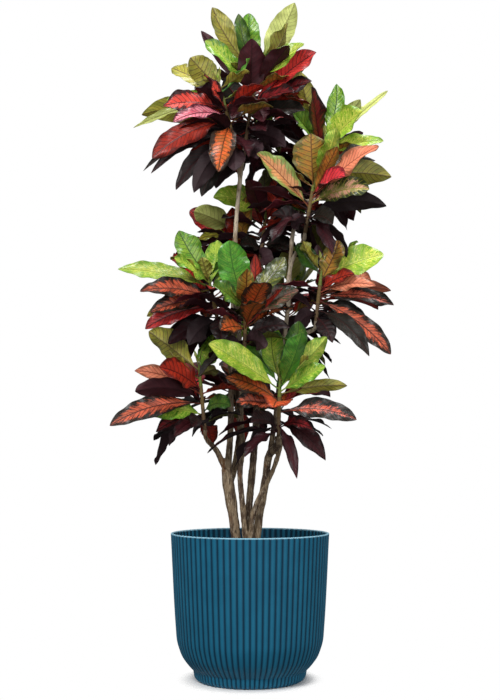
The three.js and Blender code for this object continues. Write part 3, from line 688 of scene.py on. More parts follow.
def finish_mesh(mesh, sharp):
    mesh.polygons.foreach_set("use_smooth", [True] * len(mesh.polygons))
    mesh.set_sharp_from_angle(angle=math.radians(sharp))
    mesh.update()


def link(name, data):
    piece = bpy.data.objects.new(name, data)
    bpy.context.scene.collection.objects.link(piece)
    return piece


def grid_faces(rows, columns, closed=False):
    """Quads between the rows of a grid. A closed grid joins its last column to its first."""
    i, j = np.meshgrid(np.arange(rows - 1), np.arange(columns if closed else columns - 1), indexing="ij")
    after = (j + 1) % columns
    corners = [i * columns + j, i * columns + after, (i + 1) * columns + after, (i + 1) * columns + j]
    return np.stack(corners, -1).reshape(-1, 4)


def level_ring(radius, height, angles):
    heights = np.full(len(angles), float(height))
    return np.stack([radius * np.cos(angles), radius * np.sin(angles), heights], -1)


def tube(centres, radii, sides, normals=None):
    """The vertices and faces of a round bar along a path, with a cap at each end."""
    centres, radii = np.asarray(centres, float), np.asarray(radii, float)
    ahead = np.gradient(centres, axis=0)
    ahead /= np.linalg.norm(ahead, axis=1)[:, None]
    if normals is None:
        normal, normals = point((0.3, 0.9, 0.1)), []
        for direction in ahead:
            normal = unit(normal - direction * float(normal @ direction))
            normals.append(normal)
        normals = np.array(normals)
    beside = np.cross(ahead, normals)
    angles = (np.arange(sides) * 2 * math.pi / sides)[None, :, None]
    turned = np.cos(angles) * normals[:, None] + np.sin(angles) * beside[:, None]
    rings = centres[:, None] + radii[:, None, None] * turned
    count = len(centres)
    vertices = np.concatenate([rings.reshape(-1, 3), centres[:1], centres[-1:]])
    faces = grid_faces(count, sides, closed=True).tolist()
    last = (count - 1) * sides
    for k in range(sides):
        after = (k + 1) % sides
        faces.append([count * sides, after, k])
        faces.append([count * sides + 1, last + k, last + after])
    return vertices, faces


# ---- Colours of the leaves ----


def colour(rgb):
    """An sRGB colour of 0 to 255 as linear light."""
    values = point(rgb) / 255
    return np.where(values <= 0.04045, values / 12.92, ((values + 0.055) / 1.055) ** 2.4)


# The looks of the leaves. Each line is a kind, its face (top, under or both), the colours of its
# ground, of the patches on it, of the bands along its veins, of its veins and of its margin, and how
# strong the bands, the veins, the patches and the margin are.
# The moss look is a darker copy of the olive look: painted shade.
LOOK_TABLE = """
green top 609226 3c6c1c bccc50 789232 3c6c1e 0.8 0.35 0.6 0.35
green top 709e2c 4a7a20 c8d056 34541a 427020 0.7 0.6 0.5 0.3
green top 548a26 8cac36 9cb842 264a18 32601e 0.5 0.8 0.6 0.3
green under 96963e 7c8234 aca854 584e24 7e8238 0.4 0.85 0.5 0.3
green under 868832 968438 9e9642 5c4420 707630 0.4 0.85 0.6 0.3
green under a8ae5a 8e9a46 b8b868 706c34 8c964a 0.5 0.7 0.5 0.3
deep top 30541e 203c18 68822c 182e14 1c3418 0.5 0.6 0.6 0.4
deep top 3c6420 22421a 809632 1e3816 22401a 0.6 0.6 0.5 0.4
deep under 5e602c 4c5226 706e36 3c321c 484826 0.4 0.8 0.5 0.3
leafy both 4a8e28 306a20 88b240 28581c 2e621e 0.5 0.7 0.8 0.3
moss both 5c6224 34401a 8c8a36 2e2c16 2c361a 0.5 0.8 1 0.6
lime both 82a62c 5a8c22 d0d25a 608026 547e22 0.9 0.5 0.6 0.3
pale both aab262 96a250 c0c276 707036 90944a 0.5 0.7 0.5 0.3
olive both 969032 707a28 b0a042 503e1c 6c6e2a 0.5 0.85 0.8 0.4
bronze both a8742e 7c702a b8863a 4e2e1a 605c28 0.5 0.85 0.9 0.6
tan both ce905e b87646 d6a26c 784228 7c924a 0.4 0.8 0.7 0.9
ember both a25426 ce582a 805c2a 3c2416 2c221a 0.4 0.8 1 0.7
amber top d6683e 783a22 e28452 542418 242416 0.5 0.85 0.8 0.8
amber top ca5632 702e1e d46e3e 421e16 202016 0.5 0.85 0.9 0.7
amber top d27a3e 6e682c dc9052 5c301a 2c361c 0.5 0.8 1 0.9
amber under 8a4832 763c2a 96543a 50241c 5c3426 0.3 0.7 0.5 0.4
orange both d2522e b83e26 e27440 602418 762a1c 0.5 0.9 0.7 0.5
coral both cc5c3e 743226 d67652 4a201a 1c1b15 0.4 0.9 0.8 0.9
salmon both de8464 d06c50 e89c78 843e2e 765036 0.4 0.8 0.5 0.5
charred both d05c46 6e3026 da765a 421e1a 181915 0.4 0.8 0.8 1.3
red top cc343e b02630 d85052 4a141e 38161c 0.4 0.9 0.5 0.5
red top b42c2a 962222 c43e36 4a1418 40161a 0.3 0.9 0.5 0.4
red top d04236 b02e2a dc5c46 48181a 2e1818 0.4 0.9 0.5 0.7
red under 601e28 4c1822 702630 3c121a 40161e 0.3 0.6 0.5 0.3
red under 4a1a22 3c161e 582028 301016 321218 0.3 0.6 0.5 0.3
brick both a82e1e 7a1e18 c0442a 481414 3e1816 0.3 0.85 0.5 0.5
maroon top 50161a 361114 681e22 2a0c10 1e0e10 0.4 0.7 0.7 0.7
maroon top 781c20 401216 92282a 2e0e10 220e10 0.4 0.8 0.8 0.8
maroon top 361418 241013 46191d 230c0f 180e0f 0.4 0.6 0.6 0.6
maroon under 3c181e 2e1318 461d23 280f14 281217 0.3 0.6 0.5 0.3
maroon under 2e1419 231014 38181d 210c10 1e1013 0.3 0.6 0.5 0.3
plum both 42161e 2e1218 561c26 280c12 260f14 0.3 0.6 0.5 0.3
candy both de808e b83e54 e8a0a6 601e2e 4a1a26 0.5 1 1 0.7
blotched both dea488 6e8036 eabe9a 969640 364022 0.5 0.9 1 0.9
inked both 2a3626 3a4a2e a45c52 1a221a 1c201a 0.6 0.5 0.6 0.5
dark top 211919 181414 32191a 381618 161212 0.3 0.5 0.5 0.4
dark top 1e1d18 171713 2a211b 321a18 141412 0.3 0.5 0.5 0.4
dark top 34181d 261418 481c21 3e1419 1c1215 0.4 0.6 0.5 0.5
dark under 342226 2a1c20 3e282c 2a141a 26191d 0.3 0.6 0.5 0.3
dark under 281d1f 21191b 322225 201417 1f1719 0.3 0.6 0.5 0.3
"""
COLOUR_KEYS = ("ground", "patch", "band", "vein", "edge")


def look_table(text):
    """Each kind's looks, of its upper face and of its under face."""
    looks = {}
    for kind, face, *words in (line.split() for line in text.strip().split("\n")):
        rgbs = [[int(word[i:i + 2], 16) for i in (0, 2, 4)] for word in words[:5]]
        look = {**dict(zip(COLOUR_KEYS, map(colour, rgbs))), "style": point(numbers(words[5:]))}
        for side, options in zip(("top", "under"), looks.setdefault(kind, ([], []))):
            if face in (side, "both"):
                options.append(look)
    return looks


LOOKS = look_table(LOOK_TABLE)


def pick(options, draw):
    """One of a kind's looks, a little lighter or darker than it stands."""
    chosen = options[min(int(draw.between(0, len(options))), len(options) - 1)]
    shade = draw.between(0.85, 1.18)
    return {key: value if key == "style" else value * shade for key, value in chosen.items()}


# ---- Fine leaves ----

# The grid of a fine blade, and the rings and sides of its petiole and midrib.
ROWS = 52
COLUMNS = 15
RIB_RINGS = 26
RIB_SIDES = 8
RIB_RADII = ((0, 2.4), (0.02, 1.8), (PETIOLE_SHARE, 1.45), (0.3, 1.1), (0.97, 0.35))  # at shares of a leaf
SKIN = 0.3  # half the thickness of a fine blade
VEIN_STEP = 12  # between the side veins of a leaf
VEIN_SLOPE = 0.16  # how far forward a side vein runs on its way to the margin, for the blade's length
SWELL = 0.75  # how far the blade swells between its side veins
RIPPLE = 1.0  # of the margin
FLUTE = 2.8  # of the longer waves of the margin
CRINKLE = 0.8  # of the uneven swellings all over the blade


def blade_faces():
    """The faces of a closed blade: its top and bottom, and the strip round its margin."""
    under = grid_faces(ROWS, COLUMNS)
    size = ROWS * COLUMNS
    rim = [i * COLUMNS for i in range(ROWS)]
    rim += [(ROWS - 1) * COLUMNS + j for j in range(1, COLUMNS)]
    rim += [i * COLUMNS + COLUMNS - 1 for i in range(ROWS - 2, -1, -1)]
    rim = np.array(rim + list(range(COLUMNS - 2, 0, -1)))
    after = np.roll(rim, -1)
    strip = np.stack([after, rim, rim + size, after + size], -1)
    return np.concatenate([under[:, ::-1], under + size, strip]).tolist()


BLADE_FACES = blade_faces()


# A place away from any vein, in a look without bands, veins, patches and margin.
PLAIN_PLACE = {"run": 0.5, "side": 0.3, "half": 30, "pairs": 1, "under": 1, "style": (0, 0, 0, 0)}


def add_leaf(shape, leaf, top, under, draw, detail=1.0):
    """Adds a fine leaf to a shape: its blade, and its petiole running on beneath as the midrib."""
    seed = draw.between(0, 1)
    even = np.linspace(0, 1, ROWS)
    share = mix(0.5 - 0.5 * np.cos(math.pi * even), even, 0.55)
    across = np.linspace(-1, 1, COLUMNS)
    away = np.abs(across)[None, :]
    pairs = round(leaf.length / VEIN_STEP)
    # Each side of the outline has its own shallow notches, and the tip is drawn out by its own share.
    run = share[:, None]
    own = 2.4 * (across > 0)[None, :]
    notches = 0.03 * np.sin(run * draw.between(12, 20) + own)
    notches = notches + 0.02 * np.sin(run * draw.between(28, 44) + 2 * own)
    longer = draw.between(0, 0.35) + (0.25 if leaf.age == "old" else 0)
    drawn = 1 - longer * np.clip((run - 0.55) / 0.43, 0, 1) ** 1.6
    half = np.maximum(0.5 * leaf.width * outline(share)[:, None] * (1.03 + notches) * drawn, 0.35)
    middle = blade(leaf, share, across, half)
    normal = frames(leaf, PETIOLE_SHARE + (1 - PETIOLE_SHARE) * share)[2][:, None]
    vein = (run - VEIN_SLOPE * away ** 1.15) * pairs + 0.5 * (across > 0)
    full = detail * np.minimum(1, half / FULL_WAVE)
    off = half * away
    swell = SWELL * np.minimum(1, off / 4) * (1 - away ** 4) * (0.5 - 0.5 * np.cos(2 * math.pi * vein))
    ripple = RIPPLE * away ** 3 * np.sin(run * pairs * 2.1 + 5 * seed + 2 * across)
    flute = FLUTE * away ** 2.5 * np.sin(run * (9 + 6 * seed) + 9 * seed + own)
    waves = np.sin(run * (17 + 9 * seed) + 3.1 * across + 20 * seed)
    waves = waves + np.sin(run * 29 - 4.3 * across + 31 * seed)
    crinkle = CRINKLE * away * np.minimum(1, off / 8) * waves
    groove = 0.35 * np.exp(-((off / 1.4) ** 2))
    middle = middle + (full * (swell + ripple + flute + crinkle - groove))[:, :, None] * normal
    vertices = np.concatenate([middle + SKIN * normal, middle - SKIN * normal]).reshape(-1, 3)
    size = ROWS * COLUMNS
    flat = lambda values: np.tile(np.broadcast_to(values, (ROWS, COLUMNS)).ravel(), 2)
    colours = {
        key: np.concatenate([np.tile(top[key], (size, 1)), np.tile(under[key], (size, 1))])
        for key in (*COLOUR_KEYS, "style")
    }
    shape.add(
        vertices, BLADE_FACES, run=flat(run), side=flat(across), half=flat(half),
        pairs=pairs, seed=seed, under=np.repeat([0.0, 1.0], size), **colours,
    )
    # The petiole is swollen at its root, and tapers as the midrib to the blade's tip.
    t = np.linspace(0, 0.97, RIB_RINGS) ** 1.15
    centre, _, normals, _ = frames(leaf, t)
    radii = np.interp(t, *zip(*RIB_RADII)) * mix(0.45, 1, detail)
    sunk = np.interp(t, (0, PETIOLE_SHARE, 0.18, 1), (0, 0.1, 0.75, 0.75)) * radii
    vertices, faces = tube(centre - normals * sunk[:, None], radii, RIB_SIDES, normals)
    upper = np.tile(np.cos(np.arange(RIB_SIDES) * 2 * math.pi / RIB_SIDES) > 0.3, RIB_RINGS)
    upper = np.concatenate([upper, [False, False]])[:, None]
    rib = np.where(upper, top["vein"], mix(under["vein"], under["ground"], 0.35))
    shape.add(vertices, faces, seed=seed, **PLAIN_PLACE, **dict.fromkeys(COLOUR_KEYS, rib))


# A shoot's bark at each age, from its tip down.
SHOOT_COLOURS = {"young": (104, 118, 48), "mature": (112, 92, 56), "old": (104, 84, 62)}
SHOOT_RINGS = 30
SCARS = 5  # low rings left by fallen leaves on each stretch
SPROUTS = 3  # small new leaves at each shoot's tip


def add_shoot(shape, crown, age):
    """One age's stretch of a shoot."""
    foot, tip, ahead = shoot_of(crown)
    low, high = AGES[age]
    start, end = mix(foot, tip, low) + ahead * GAP, mix(foot, tip, high)
    share = np.linspace(0, 1, SHOOT_RINGS)
    slim = 0.5 * SHOOT_RADIUS if high == 1 else SHOOT_RADIUS
    radii = mix(SHOOT_RADIUS, slim, share) - 0.4 + 0.35 * np.cos(share * math.pi * SCARS) ** 8
    vertices, faces = tube(start + (end - start) * share[:, None], radii, 14)
    bark = dict.fromkeys(COLOUR_KEYS, colour(SHOOT_COLOURS[age]))
    shape.add(vertices, faces, seed=0.3, **PLAIN_PLACE, **bark)


def add_sprouts(shape, crown, draw):
    """Narrow new leaves that stand close together at the shoot's tip."""
    _, tip, ahead = shoot_of(crown)
    across = unit(np.cross(ahead, (0, 1, 0)))
    other = np.cross(ahead, across)
    for i in range(SPROUTS):
        turn = i * GOLDEN_ANGLE + draw.between(0, 1)
        lean = math.cos(turn) * across + math.sin(turn) * other
        end = tip + (ahead + 0.28 * lean) * draw.between(26, 40)
        leaf = Leaf(tip - 2 * ahead, end, draw.between(7, 10), 0, 0.02, 0.05, traits_from(draw))
        leaf.facing, leaf.age = point((-lean[0], -lean[1], 0.6)), "young"
        add_leaf(shape, leaf, LOOKS["green"][0][1], LOOKS["green"][1][2], draw, detail=0.2)


# ---- Material graphs ----


class Graph:
    """A material with short ways to add nodes to it."""

    def __init__(self, name):
        self.material = bpy.data.materials.new(name)
        self.material.use_nodes = True
        self.tree = self.material.node_tree
        self.shader = self.tree.nodes["Principled BSDF"]

    def put(self, socket, value):
        if isinstance(value, bpy.types.NodeSocket):
            self.tree.links.new(value, socket)
        elif socket.type == "RGBA":
            socket.default_value = (*value, 1)
        else:
            socket.default_value = value

    def node(self, kind, inputs=(), output=0, **settings):
        made = self.tree.nodes.new("ShaderNode" + kind)
        for key, value in settings.items():
            setattr(made, key, value)
        for key, value in dict(inputs).items():
            self.put(made.inputs[key], value)
        return made.outputs[output]

    def attribute(self, name, output="Fac"):
        return self.node("Attribute", output=output, attribute_name=name)

    def math(self, operation, a, b=0.0):
        return self.node("Math", {0: a, 1: b}, operation=operation)

    def plus(self, a, b):
        return self.math("ADD", a, b)

    def minus(self, a, b):
        return self.math("SUBTRACT", a, b)

    def times(self, a, b):
        return self.math("MULTIPLY", a, b)

    def step(self, value, low, high, start=0.0, end=1.0):
        """A smooth change from `start` to `end` while a value goes from `low` to `high`."""
        inputs = {"Value": value, "From Min": low, "From Max": high, "To Min": start, "To Max": end}
        return self.node("MapRange", inputs, interpolation_type="SMOOTHSTEP")

    def blend(self, share, a, b, kind="MIX"):
        made = self.tree.nodes.new("ShaderNodeMix")
        made.data_type, made.blend_type = "RGBA", kind
        for key, value in ((0, share), (6, a), (7, b)):
            self.put(made.inputs[key], value)
        return made.outputs[2]

    def vector(self, x, y, z):
        return self.node("CombineXYZ", {0: x, 1: y, 2: z})

    def stretched(self, scale):
        """The object's own coordinates, in millimetres, stretched along each axis."""
        place = self.node("TexCoord", output="Object")
        return self.node("Mapping", {"Vector": place, "Scale": [1000 * s for s in scale]})

    def noise(self, vector, scale, detail, rough):
        inputs = {"Vector": vector, "Scale": scale, "Detail": detail, "Roughness": rough}
        return self.node("TexNoise", inputs)

    def grain(self, *settings, stretch=(1, 1, 1)):
        return self.noise(self.stretched(stretch), *settings)

    def shaded(self, tone, shade):
        """A tone made lighter or darker by a factor."""
        return self.blend(1.0, tone, self.node("CombineColor", {0: shade, 1: shade, 2: shade}), "MULTIPLY")

    def skin(self, tone, rough, bump=None, specular=None):
        """Joins up the shader's sockets, and gives the finished material."""
        values = {"Base Color": tone, "Roughness": rough, "Normal": bump, "Specular IOR Level": specular}
        for key, value in values.items():
            if value is not None:
                self.put(self.shader.inputs[key], value)
        return self.material

    def bump(self, height, distance, strength):
        """A bump from a height between 0 and 1 that stands for the given millimetres."""
        inputs = {"Height": height, "Distance": distance * MM, "Strength": strength}
        return self.node("Bump", inputs)


def leaf_material(name, gloss, sheen):
    """A leaf's skin. Its colours, and where its veins run, come from the mesh."""
    g = Graph(name)
    run, side, half, pairs, seed, under = (
        g.attribute(key) for key in ("run", "side", "half", "pairs", "seed", "under")
    )
    style = g.attribute("style", "Color")
    parts = g.tree.nodes.new("ShaderNodeSeparateColor")
    g.put(parts.inputs[0], style)
    bands, lines, patches = (parts.outputs[i] for i in range(3))
    edges = g.attribute("style", "Alpha")
    away = g.math("ABSOLUTE", side)
    off = g.times(away, half)
    lean = g.times(g.math("POWER", away, 1.15), VEIN_SLOPE)
    along = g.times(g.minus(run, lean), pairs)
    turned = g.times(g.math("GREATER_THAN", side, 0.0), 7.5)
    row = g.plus(along, turned)
    # Noise that is drawn out along the side veins, and fine noise that isn't.
    shift = g.times(seed, 173.0)
    drawn = g.vector(g.plus(row, shift), g.times(off, 0.07), shift)
    broad = g.noise(drawn, 0.8, 3.0, 0.55)
    speck = g.noise(drawn, 3.1, 4.0, 0.65)
    fine = g.grain(0.9, 3.0, 0.6)
    # How far each place is from the nearest side vein, out of 0.5, and from the midrib.
    wander = g.times(g.minus(fine, 0.5), 0.16)
    phase = g.math("FRACT", g.plus(row, wander))
    to_vein = g.minus(0.5, g.math("ABSOLUTE", g.minus(phase, 0.5)))
    fade = g.step(away, 0.75, 1.0, 1.0, 0.35)
    vein_line = g.times(g.step(to_vein, 0.035, 0.13, 1.0, 0.0), fade)
    rib_line = g.step(off, 1.0, 2.0, 1.0, 0.0)
    line = g.math("MAXIMUM", vein_line, rib_line)
    spread = g.times(broad, 0.42)
    side_band = g.step(to_vein, g.minus(spread, 0.12), g.plus(spread, 0.1), 1.0, 0.0)
    side_band = g.times(side_band, g.step(away, 0.35, 0.95, 1.0, 0.1))
    rib_band = g.step(g.math("DIVIDE", off, g.plus(broad, 0.2)), 2.0, 7.5, 1.0, 0.0)
    band = g.times(g.math("MAXIMUM", side_band, rib_band), bands)
    # The bands fade out here and there. Flecks of their colour and the patches lie between the veins.
    cloud = g.grain(0.035, 2.0, 0.5)
    band = g.times(band, g.step(cloud, 0.36, 0.62, 0.25, 1.0))
    fleck = g.step(g.plus(speck, g.times(cloud, 0.3)), 0.66, 0.74)
    band = g.math("MAXIMUM", band, g.times(fleck, bands))
    patch = g.times(g.step(g.plus(broad, g.times(speck, 0.45)), 0.66, 0.78), patches)
    # The margin and the tip are darker, in specks that reach inwards between the veins.
    rim = g.plus(away, g.times(g.math("POWER", run, 4.0), 0.35))
    rim = g.plus(rim, g.times(g.minus(broad, 0.5), 1.1))
    rim = g.plus(rim, g.times(g.minus(speck, 0.5), 1.3))
    rim = g.plus(rim, g.times(edges, 0.55))
    edge = g.times(g.step(rim, 0.95, 1.22), g.math("MINIMUM", g.times(edges, 1.5), 1.0))
    tone = g.blend(patch, g.attribute("ground", "Color"), g.attribute("patch", "Color"))
    tone = g.blend(band, tone, g.attribute("band", "Color"))
    tone = g.blend(edge, tone, g.attribute("edge", "Color"))
    tone = g.blend(g.times(line, lines), tone, g.attribute("vein", "Color"))
    tone = g.shaded(tone, g.step(fine, 0.25, 0.75, 0.9, 1.1))
    dull = g.plus(g.times(under, 0.24), gloss)
    height = g.plus(g.times(g.minus(1.0, vein_line), 0.7), g.times(fine, 0.5))
    return g.skin(tone, g.plus(dull, g.times(fine, 0.14)), g.bump(height, 0.22, 0.8), sheen)


# Colours of the bark, each for the lower stems and for the upper ones, and of the pot and the soil.
BARK, BARK_PATCH = ((136, 116, 90), (190, 176, 154)), ((78, 58, 42), (136, 116, 92))
BARK_RUST, BARK_RIDGE, BARK_CRACK = (128, 82, 40), (196, 182, 158), ((44, 32, 22), (84, 68, 52))
# The pot's groove colour is painted shade, and its lip colour is a painted highlight along the rim.
POT, POT_CLOUD, POT_GROOVE_SHADE, POT_LIP_HIGHLIGHT = (20, 93, 122), (24, 100, 130), (0, 38, 60), (146, 194, 214)
SOIL, SOIL_CLUMP, SOIL_CHIP, SOIL_PIT = (52, 38, 28), (82, 62, 46), (128, 106, 84), (24, 17, 12)
BARK_CHANGE = (0.45, 0.95)  # metres of height over which the bark turns pale


def bark_material():
    g = Graph("bark")
    streak = g.grain(0.35, 5.0, 0.65, stretch=(1, 1, 0.16))
    cloud = g.grain(0.045, 3.0, 0.5, stretch=(1, 1, 0.5))
    fine = g.grain(1.4, 4.0, 0.6, stretch=(1, 1, 0.45))
    height = g.node("SeparateXYZ", {0: g.node("TexCoord", output="Object")}, output=2)
    high = g.step(height, *BARK_CHANGE)
    patch = g.step(cloud, 0.42, 0.6)
    low_tone, high_tone = (g.blend(patch, colour(a), colour(b)) for a, b in zip(BARK, BARK_PATCH))
    rust = g.step(g.grain(0.03, 3.0, 0.6, stretch=(1, 1, 0.4)), 0.6, 0.7, 0.0, 0.6)
    low_tone = g.blend(rust, low_tone, colour(BARK_RUST))
    tone = g.blend(high, low_tone, high_tone)
    tone = g.blend(g.step(streak, 0.52, 0.74), tone, colour(BARK_RIDGE))
    tone = g.blend(g.step(streak, 0.48, 0.33), tone, g.blend(high, *map(colour, BARK_CRACK)))
    tone = g.shaded(tone, g.step(fine, 0.3, 0.7, 0.8, 1.15))
    rise = g.plus(g.times(streak, 0.7), g.times(fine, 0.3))
    return g.skin(tone, g.step(streak, 0.3, 0.7, 0.9, 0.72), g.bump(rise, 1.1, 0.9))


def pot_material():
    """Matte moulded plastic with a fine grain, with painted shade, a little darker, in the grooves and
    between the ridges inside, and a painted highlight along the rim.
    """
    g = Graph("pot_plastic")
    fine, cloud = g.grain(1.8, 3.0, 0.6), g.grain(0.02, 2.0, 0.5)
    tone = g.blend(g.step(cloud, 0.3, 0.7), colour(POT), colour(POT_CLOUD))
    # Painted shade: darker in the grooves outside and between the ridges inside.
    tone = g.blend(g.step(g.attribute("depth"), 0.08, 0.88, 0.0, 0.94), tone, colour(POT_GROOVE_SHADE))
    # Painted highlight: a pale band along the rim's edge, where light catches it.
    tone = g.blend(g.times(g.attribute("lip"), 0.85), tone, colour(POT_LIP_HIGHLIGHT))
    return g.skin(tone, g.step(fine, 0.3, 0.7, 0.46, 0.56), g.bump(fine, 0.04, 0.6), 0.2)


def soil_material():
    g = Graph("soil_mix")
    clump, fine = g.grain(0.07, 5.0, 0.6), g.grain(0.8, 4.0, 0.7)
    tone = g.blend(g.step(clump, 0.35, 0.65), colour(SOIL), colour(SOIL_CLUMP))
    tone = g.blend(g.step(fine, 0.62, 0.75), tone, colour(SOIL_CHIP))
    tone = g.blend(g.step(fine, 0.42, 0.28), tone, colour(SOIL_PIT))
    return g.skin(tone, 0.95, g.bump(g.plus(g.times(fine, 0.6), g.times(clump, 0.4)), 1.6, 0.9))


# ---- The pot ----

RIM_RADIUS = 175
FOOT = ((112.5, 0), (114.5, 0.6), (118, 3), (121.3, 7.5), (122.8, 13), (123.6, 18), (124.2, 21.5))
WALL = 3.6
FLOOR = 6  # height of the pot's bottom inside
HOLLOW = 1.4  # depth of the hollow under it
RIB_COUNT = 78
RIB_DEPTH = 2.2
RIB_COLUMNS = 10
GROOVE_POWER = 1.8  # how narrow the grooves are between the ribs
INNER_START = 24  # height from which the inside follows the bowl
BOWL = (
    (124.2, 21.5), (133, 30.5), (141.5, 40.8), (148.6, 51.5), (155, 67), (159.6, 83), (162, 105),
    (RIM_RADIUS, POT_HEIGHT),
)
BOWL_STEPS = 6
LIP = 1.8  # radius of the rounding at the rim's edge
LIP_RINGS = (308, 310.6, 311.8, 312.6)  # heights of the close rings under the rim
LIP_STEPS = 5
LIP_HIGHLIGHT_BAND = 3.2  # height of the painted highlight band at the rim
LIP_HIGHLIGHT_FADE = 1.4
RIDGE = 1.6  # height of the ribs inside
INSIDE = RIM_RADIUS - RIB_DEPTH - WALL


def through(knots, steps):
    """Points of a smooth path through the knots, `steps` to each stretch between two of them."""
    knots = np.array(knots, float)
    lengths = np.linalg.norm(np.diff(knots, axis=0), axis=1)
    slopes = np.diff(knots, axis=0) / lengths[:, None]
    tangents = np.concatenate([slopes[:1], 0.5 * (slopes[:-1] + slopes[1:]), slopes[-1:]])
    found = [knots[:1]]
    for i, length in enumerate(lengths):
        s = (np.arange(1, steps + 1) / steps)[:, None]
        found.append(
            (2 * s ** 3 - 3 * s ** 2 + 1) * knots[i] + (s ** 3 - 2 * s ** 2 + s) * length * tangents[i]
            + (3 * s ** 2 - 2 * s ** 3) * knots[i + 1] + (s ** 3 - s ** 2) * length * tangents[i + 1]
        )
    return np.concatenate(found)


def pot():
    """The pot as one closed body: foot, bowl, rounded rim and ribbed inside."""
    shape = Shape()
    columns = RIB_COUNT * RIB_COLUMNS
    place = np.arange(columns) / RIB_COLUMNS
    from_crest = np.abs(place - np.round(place)) * 2
    groove = from_crest ** GROOVE_POWER
    angles = place * 2 * math.pi / RIB_COUNT
    bowl = through(BOWL, BOWL_STEPS)[:-1]
    outer = [(radius, height, 1) for radius, height in through(FOOT, 3)[:-1]]
    outer += [(radius, height, 1) for radius, height in bowl if height < LIP_RINGS[0] - 1]
    side_radii, side_heights = zip(*BOWL[-2:])
    rim = [(np.interp(height, side_heights, side_radii), height) for height in LIP_RINGS]
    outer += [(radius, height, 1) for radius, height in rim]
    turns = np.linspace(0, 0.5 * math.pi, LIP_STEPS)
    turns = [(LIP * (1 - math.cos(turn)), LIP * (1 - math.sin(turn))) for turn in turns]
    lip = [(RIM_RADIUS - level, POT_HEIGHT - upright, 1) for level, upright in turns]
    lip += [(INSIDE + upright, POT_HEIGHT - level, -1) for level, upright in turns]
    within = [place for place in bowl[::-1].tolist() if INNER_START < place[1] < LIP_RINGS[0] - 1]
    down = [(radius - RIB_DEPTH - WALL, height, -1) for radius, height in rim[::-1] + within]
    down += [(114, FLOOR + 3, -1), (108, FLOOR, 0), (60, FLOOR, 0), (4, FLOOR, 0)]
    beneath = [(4, HOLLOW, 0), (60, HOLLOW, 0), (FOOT[0][0] - 8, HOLLOW, 0), (FOOT[0][0] - 6, 0, 0)]
    profile = outer + lip + down + beneath
    rings, depths, lip_highlights = [], [], []
    for radius, height, ribs in profile:
        # Outside, the grooves cut in. Inside, the same ribs show as low ridges.
        reach = radius - RIB_DEPTH * groove if ribs > 0 else radius - RIDGE * (1 - groove) * ribs
        rings.append(level_ring(reach, height, angles))
        # Painted shade value: highest in the grooves outside and between the ridges inside, nil on the floor
        # and beneath.
        depths.append(groove if ribs > 0 else -ribs * (1 - groove) ** 2)
        # Where the painted highlight band lies at the rim.
        lip_highlights.append(np.full(columns, min(1.0, max(0.0, (height - POT_HEIGHT + LIP_HIGHLIGHT_BAND) / LIP_HIGHLIGHT_FADE))))
    faces = grid_faces(len(profile), columns, closed=True)
    closing = grid_faces(2, columns, closed=True)
    last = (len(profile) - 1) * columns
    closing = np.where(closing >= columns, closing - columns, closing + last)
    faces = np.concatenate([faces, closing]).tolist()
    shape.add(np.concatenate(rings), faces, depth=np.concatenate(depths), lip=np.concatenate(lip_highlights))
    return shape.made("Pot", pot_material(), sharp=60)


# ---- The soil ----

SOIL_DROP = 32  # from the rim down to the soil
SOIL_GAP = 0.8  # between the soil and the ribs inside the pot
SOIL_COLUMNS = 120
SIDE_SLOPE = 0.062  # how far the pot's side leans out, for its height
CHUNKS = 1100


def unevenness(spot):
    return 4.5 * noise.noise(spot * 0.016) + 2.2 * noise.noise(spot * 0.07)


def soil():
    """Soil that follows the pot's inside, with crumbs and chips of bark over its uneven top."""
    shape, draw = Shape(), Draw(SEED)
    columns = SOIL_COLUMNS
    angles = np.arange(columns) * 2 * math.pi / columns
    top = POT_HEIGHT - SOIL_DROP
    walls = [(107.5, FLOOR + 0.6), (112, FLOOR + 4)]
    sides = [place for place in through(BOWL, 4) if INNER_START < place[1] < top - 4]
    walls += [(radius - RIB_DEPTH - WALL - SOIL_GAP, height) for radius, height in sides]
    edge = INSIDE - SOIL_GAP - (SOIL_DROP + 4) * SIDE_SLOPE
    walls += [(edge, top - 3)] + [(edge * share, top) for share in np.linspace(0.985, 0.02, 46)]
    rings = []
    for radius, height in walls:
        ring = level_ring(radius, height, angles)
        if height == top:
            for place in ring:
                spot = Vector(place)
                place[2] += unevenness(spot) + 1.1 * noise.noise(spot * 0.24)
        rings.append(ring)
    shape.add(np.concatenate(rings), grid_faces(len(rings), columns, closed=True).tolist())
    shape.add([(0, 0, FLOOR + 0.6), (0, 0, top)], [])
    centre_low, centre_top = shape.count - 2, shape.count - 1
    start = (len(rings) - 1) * columns
    for k in range(columns):
        after = (k + 1) % columns
        shape.faces.append([centre_low, after, k])
        shape.faces.append([centre_top, start + k, start + after])
    add_chunks(shape, draw, top, edge)
    return shape.made("Soil", soil_material(), sharp=40)


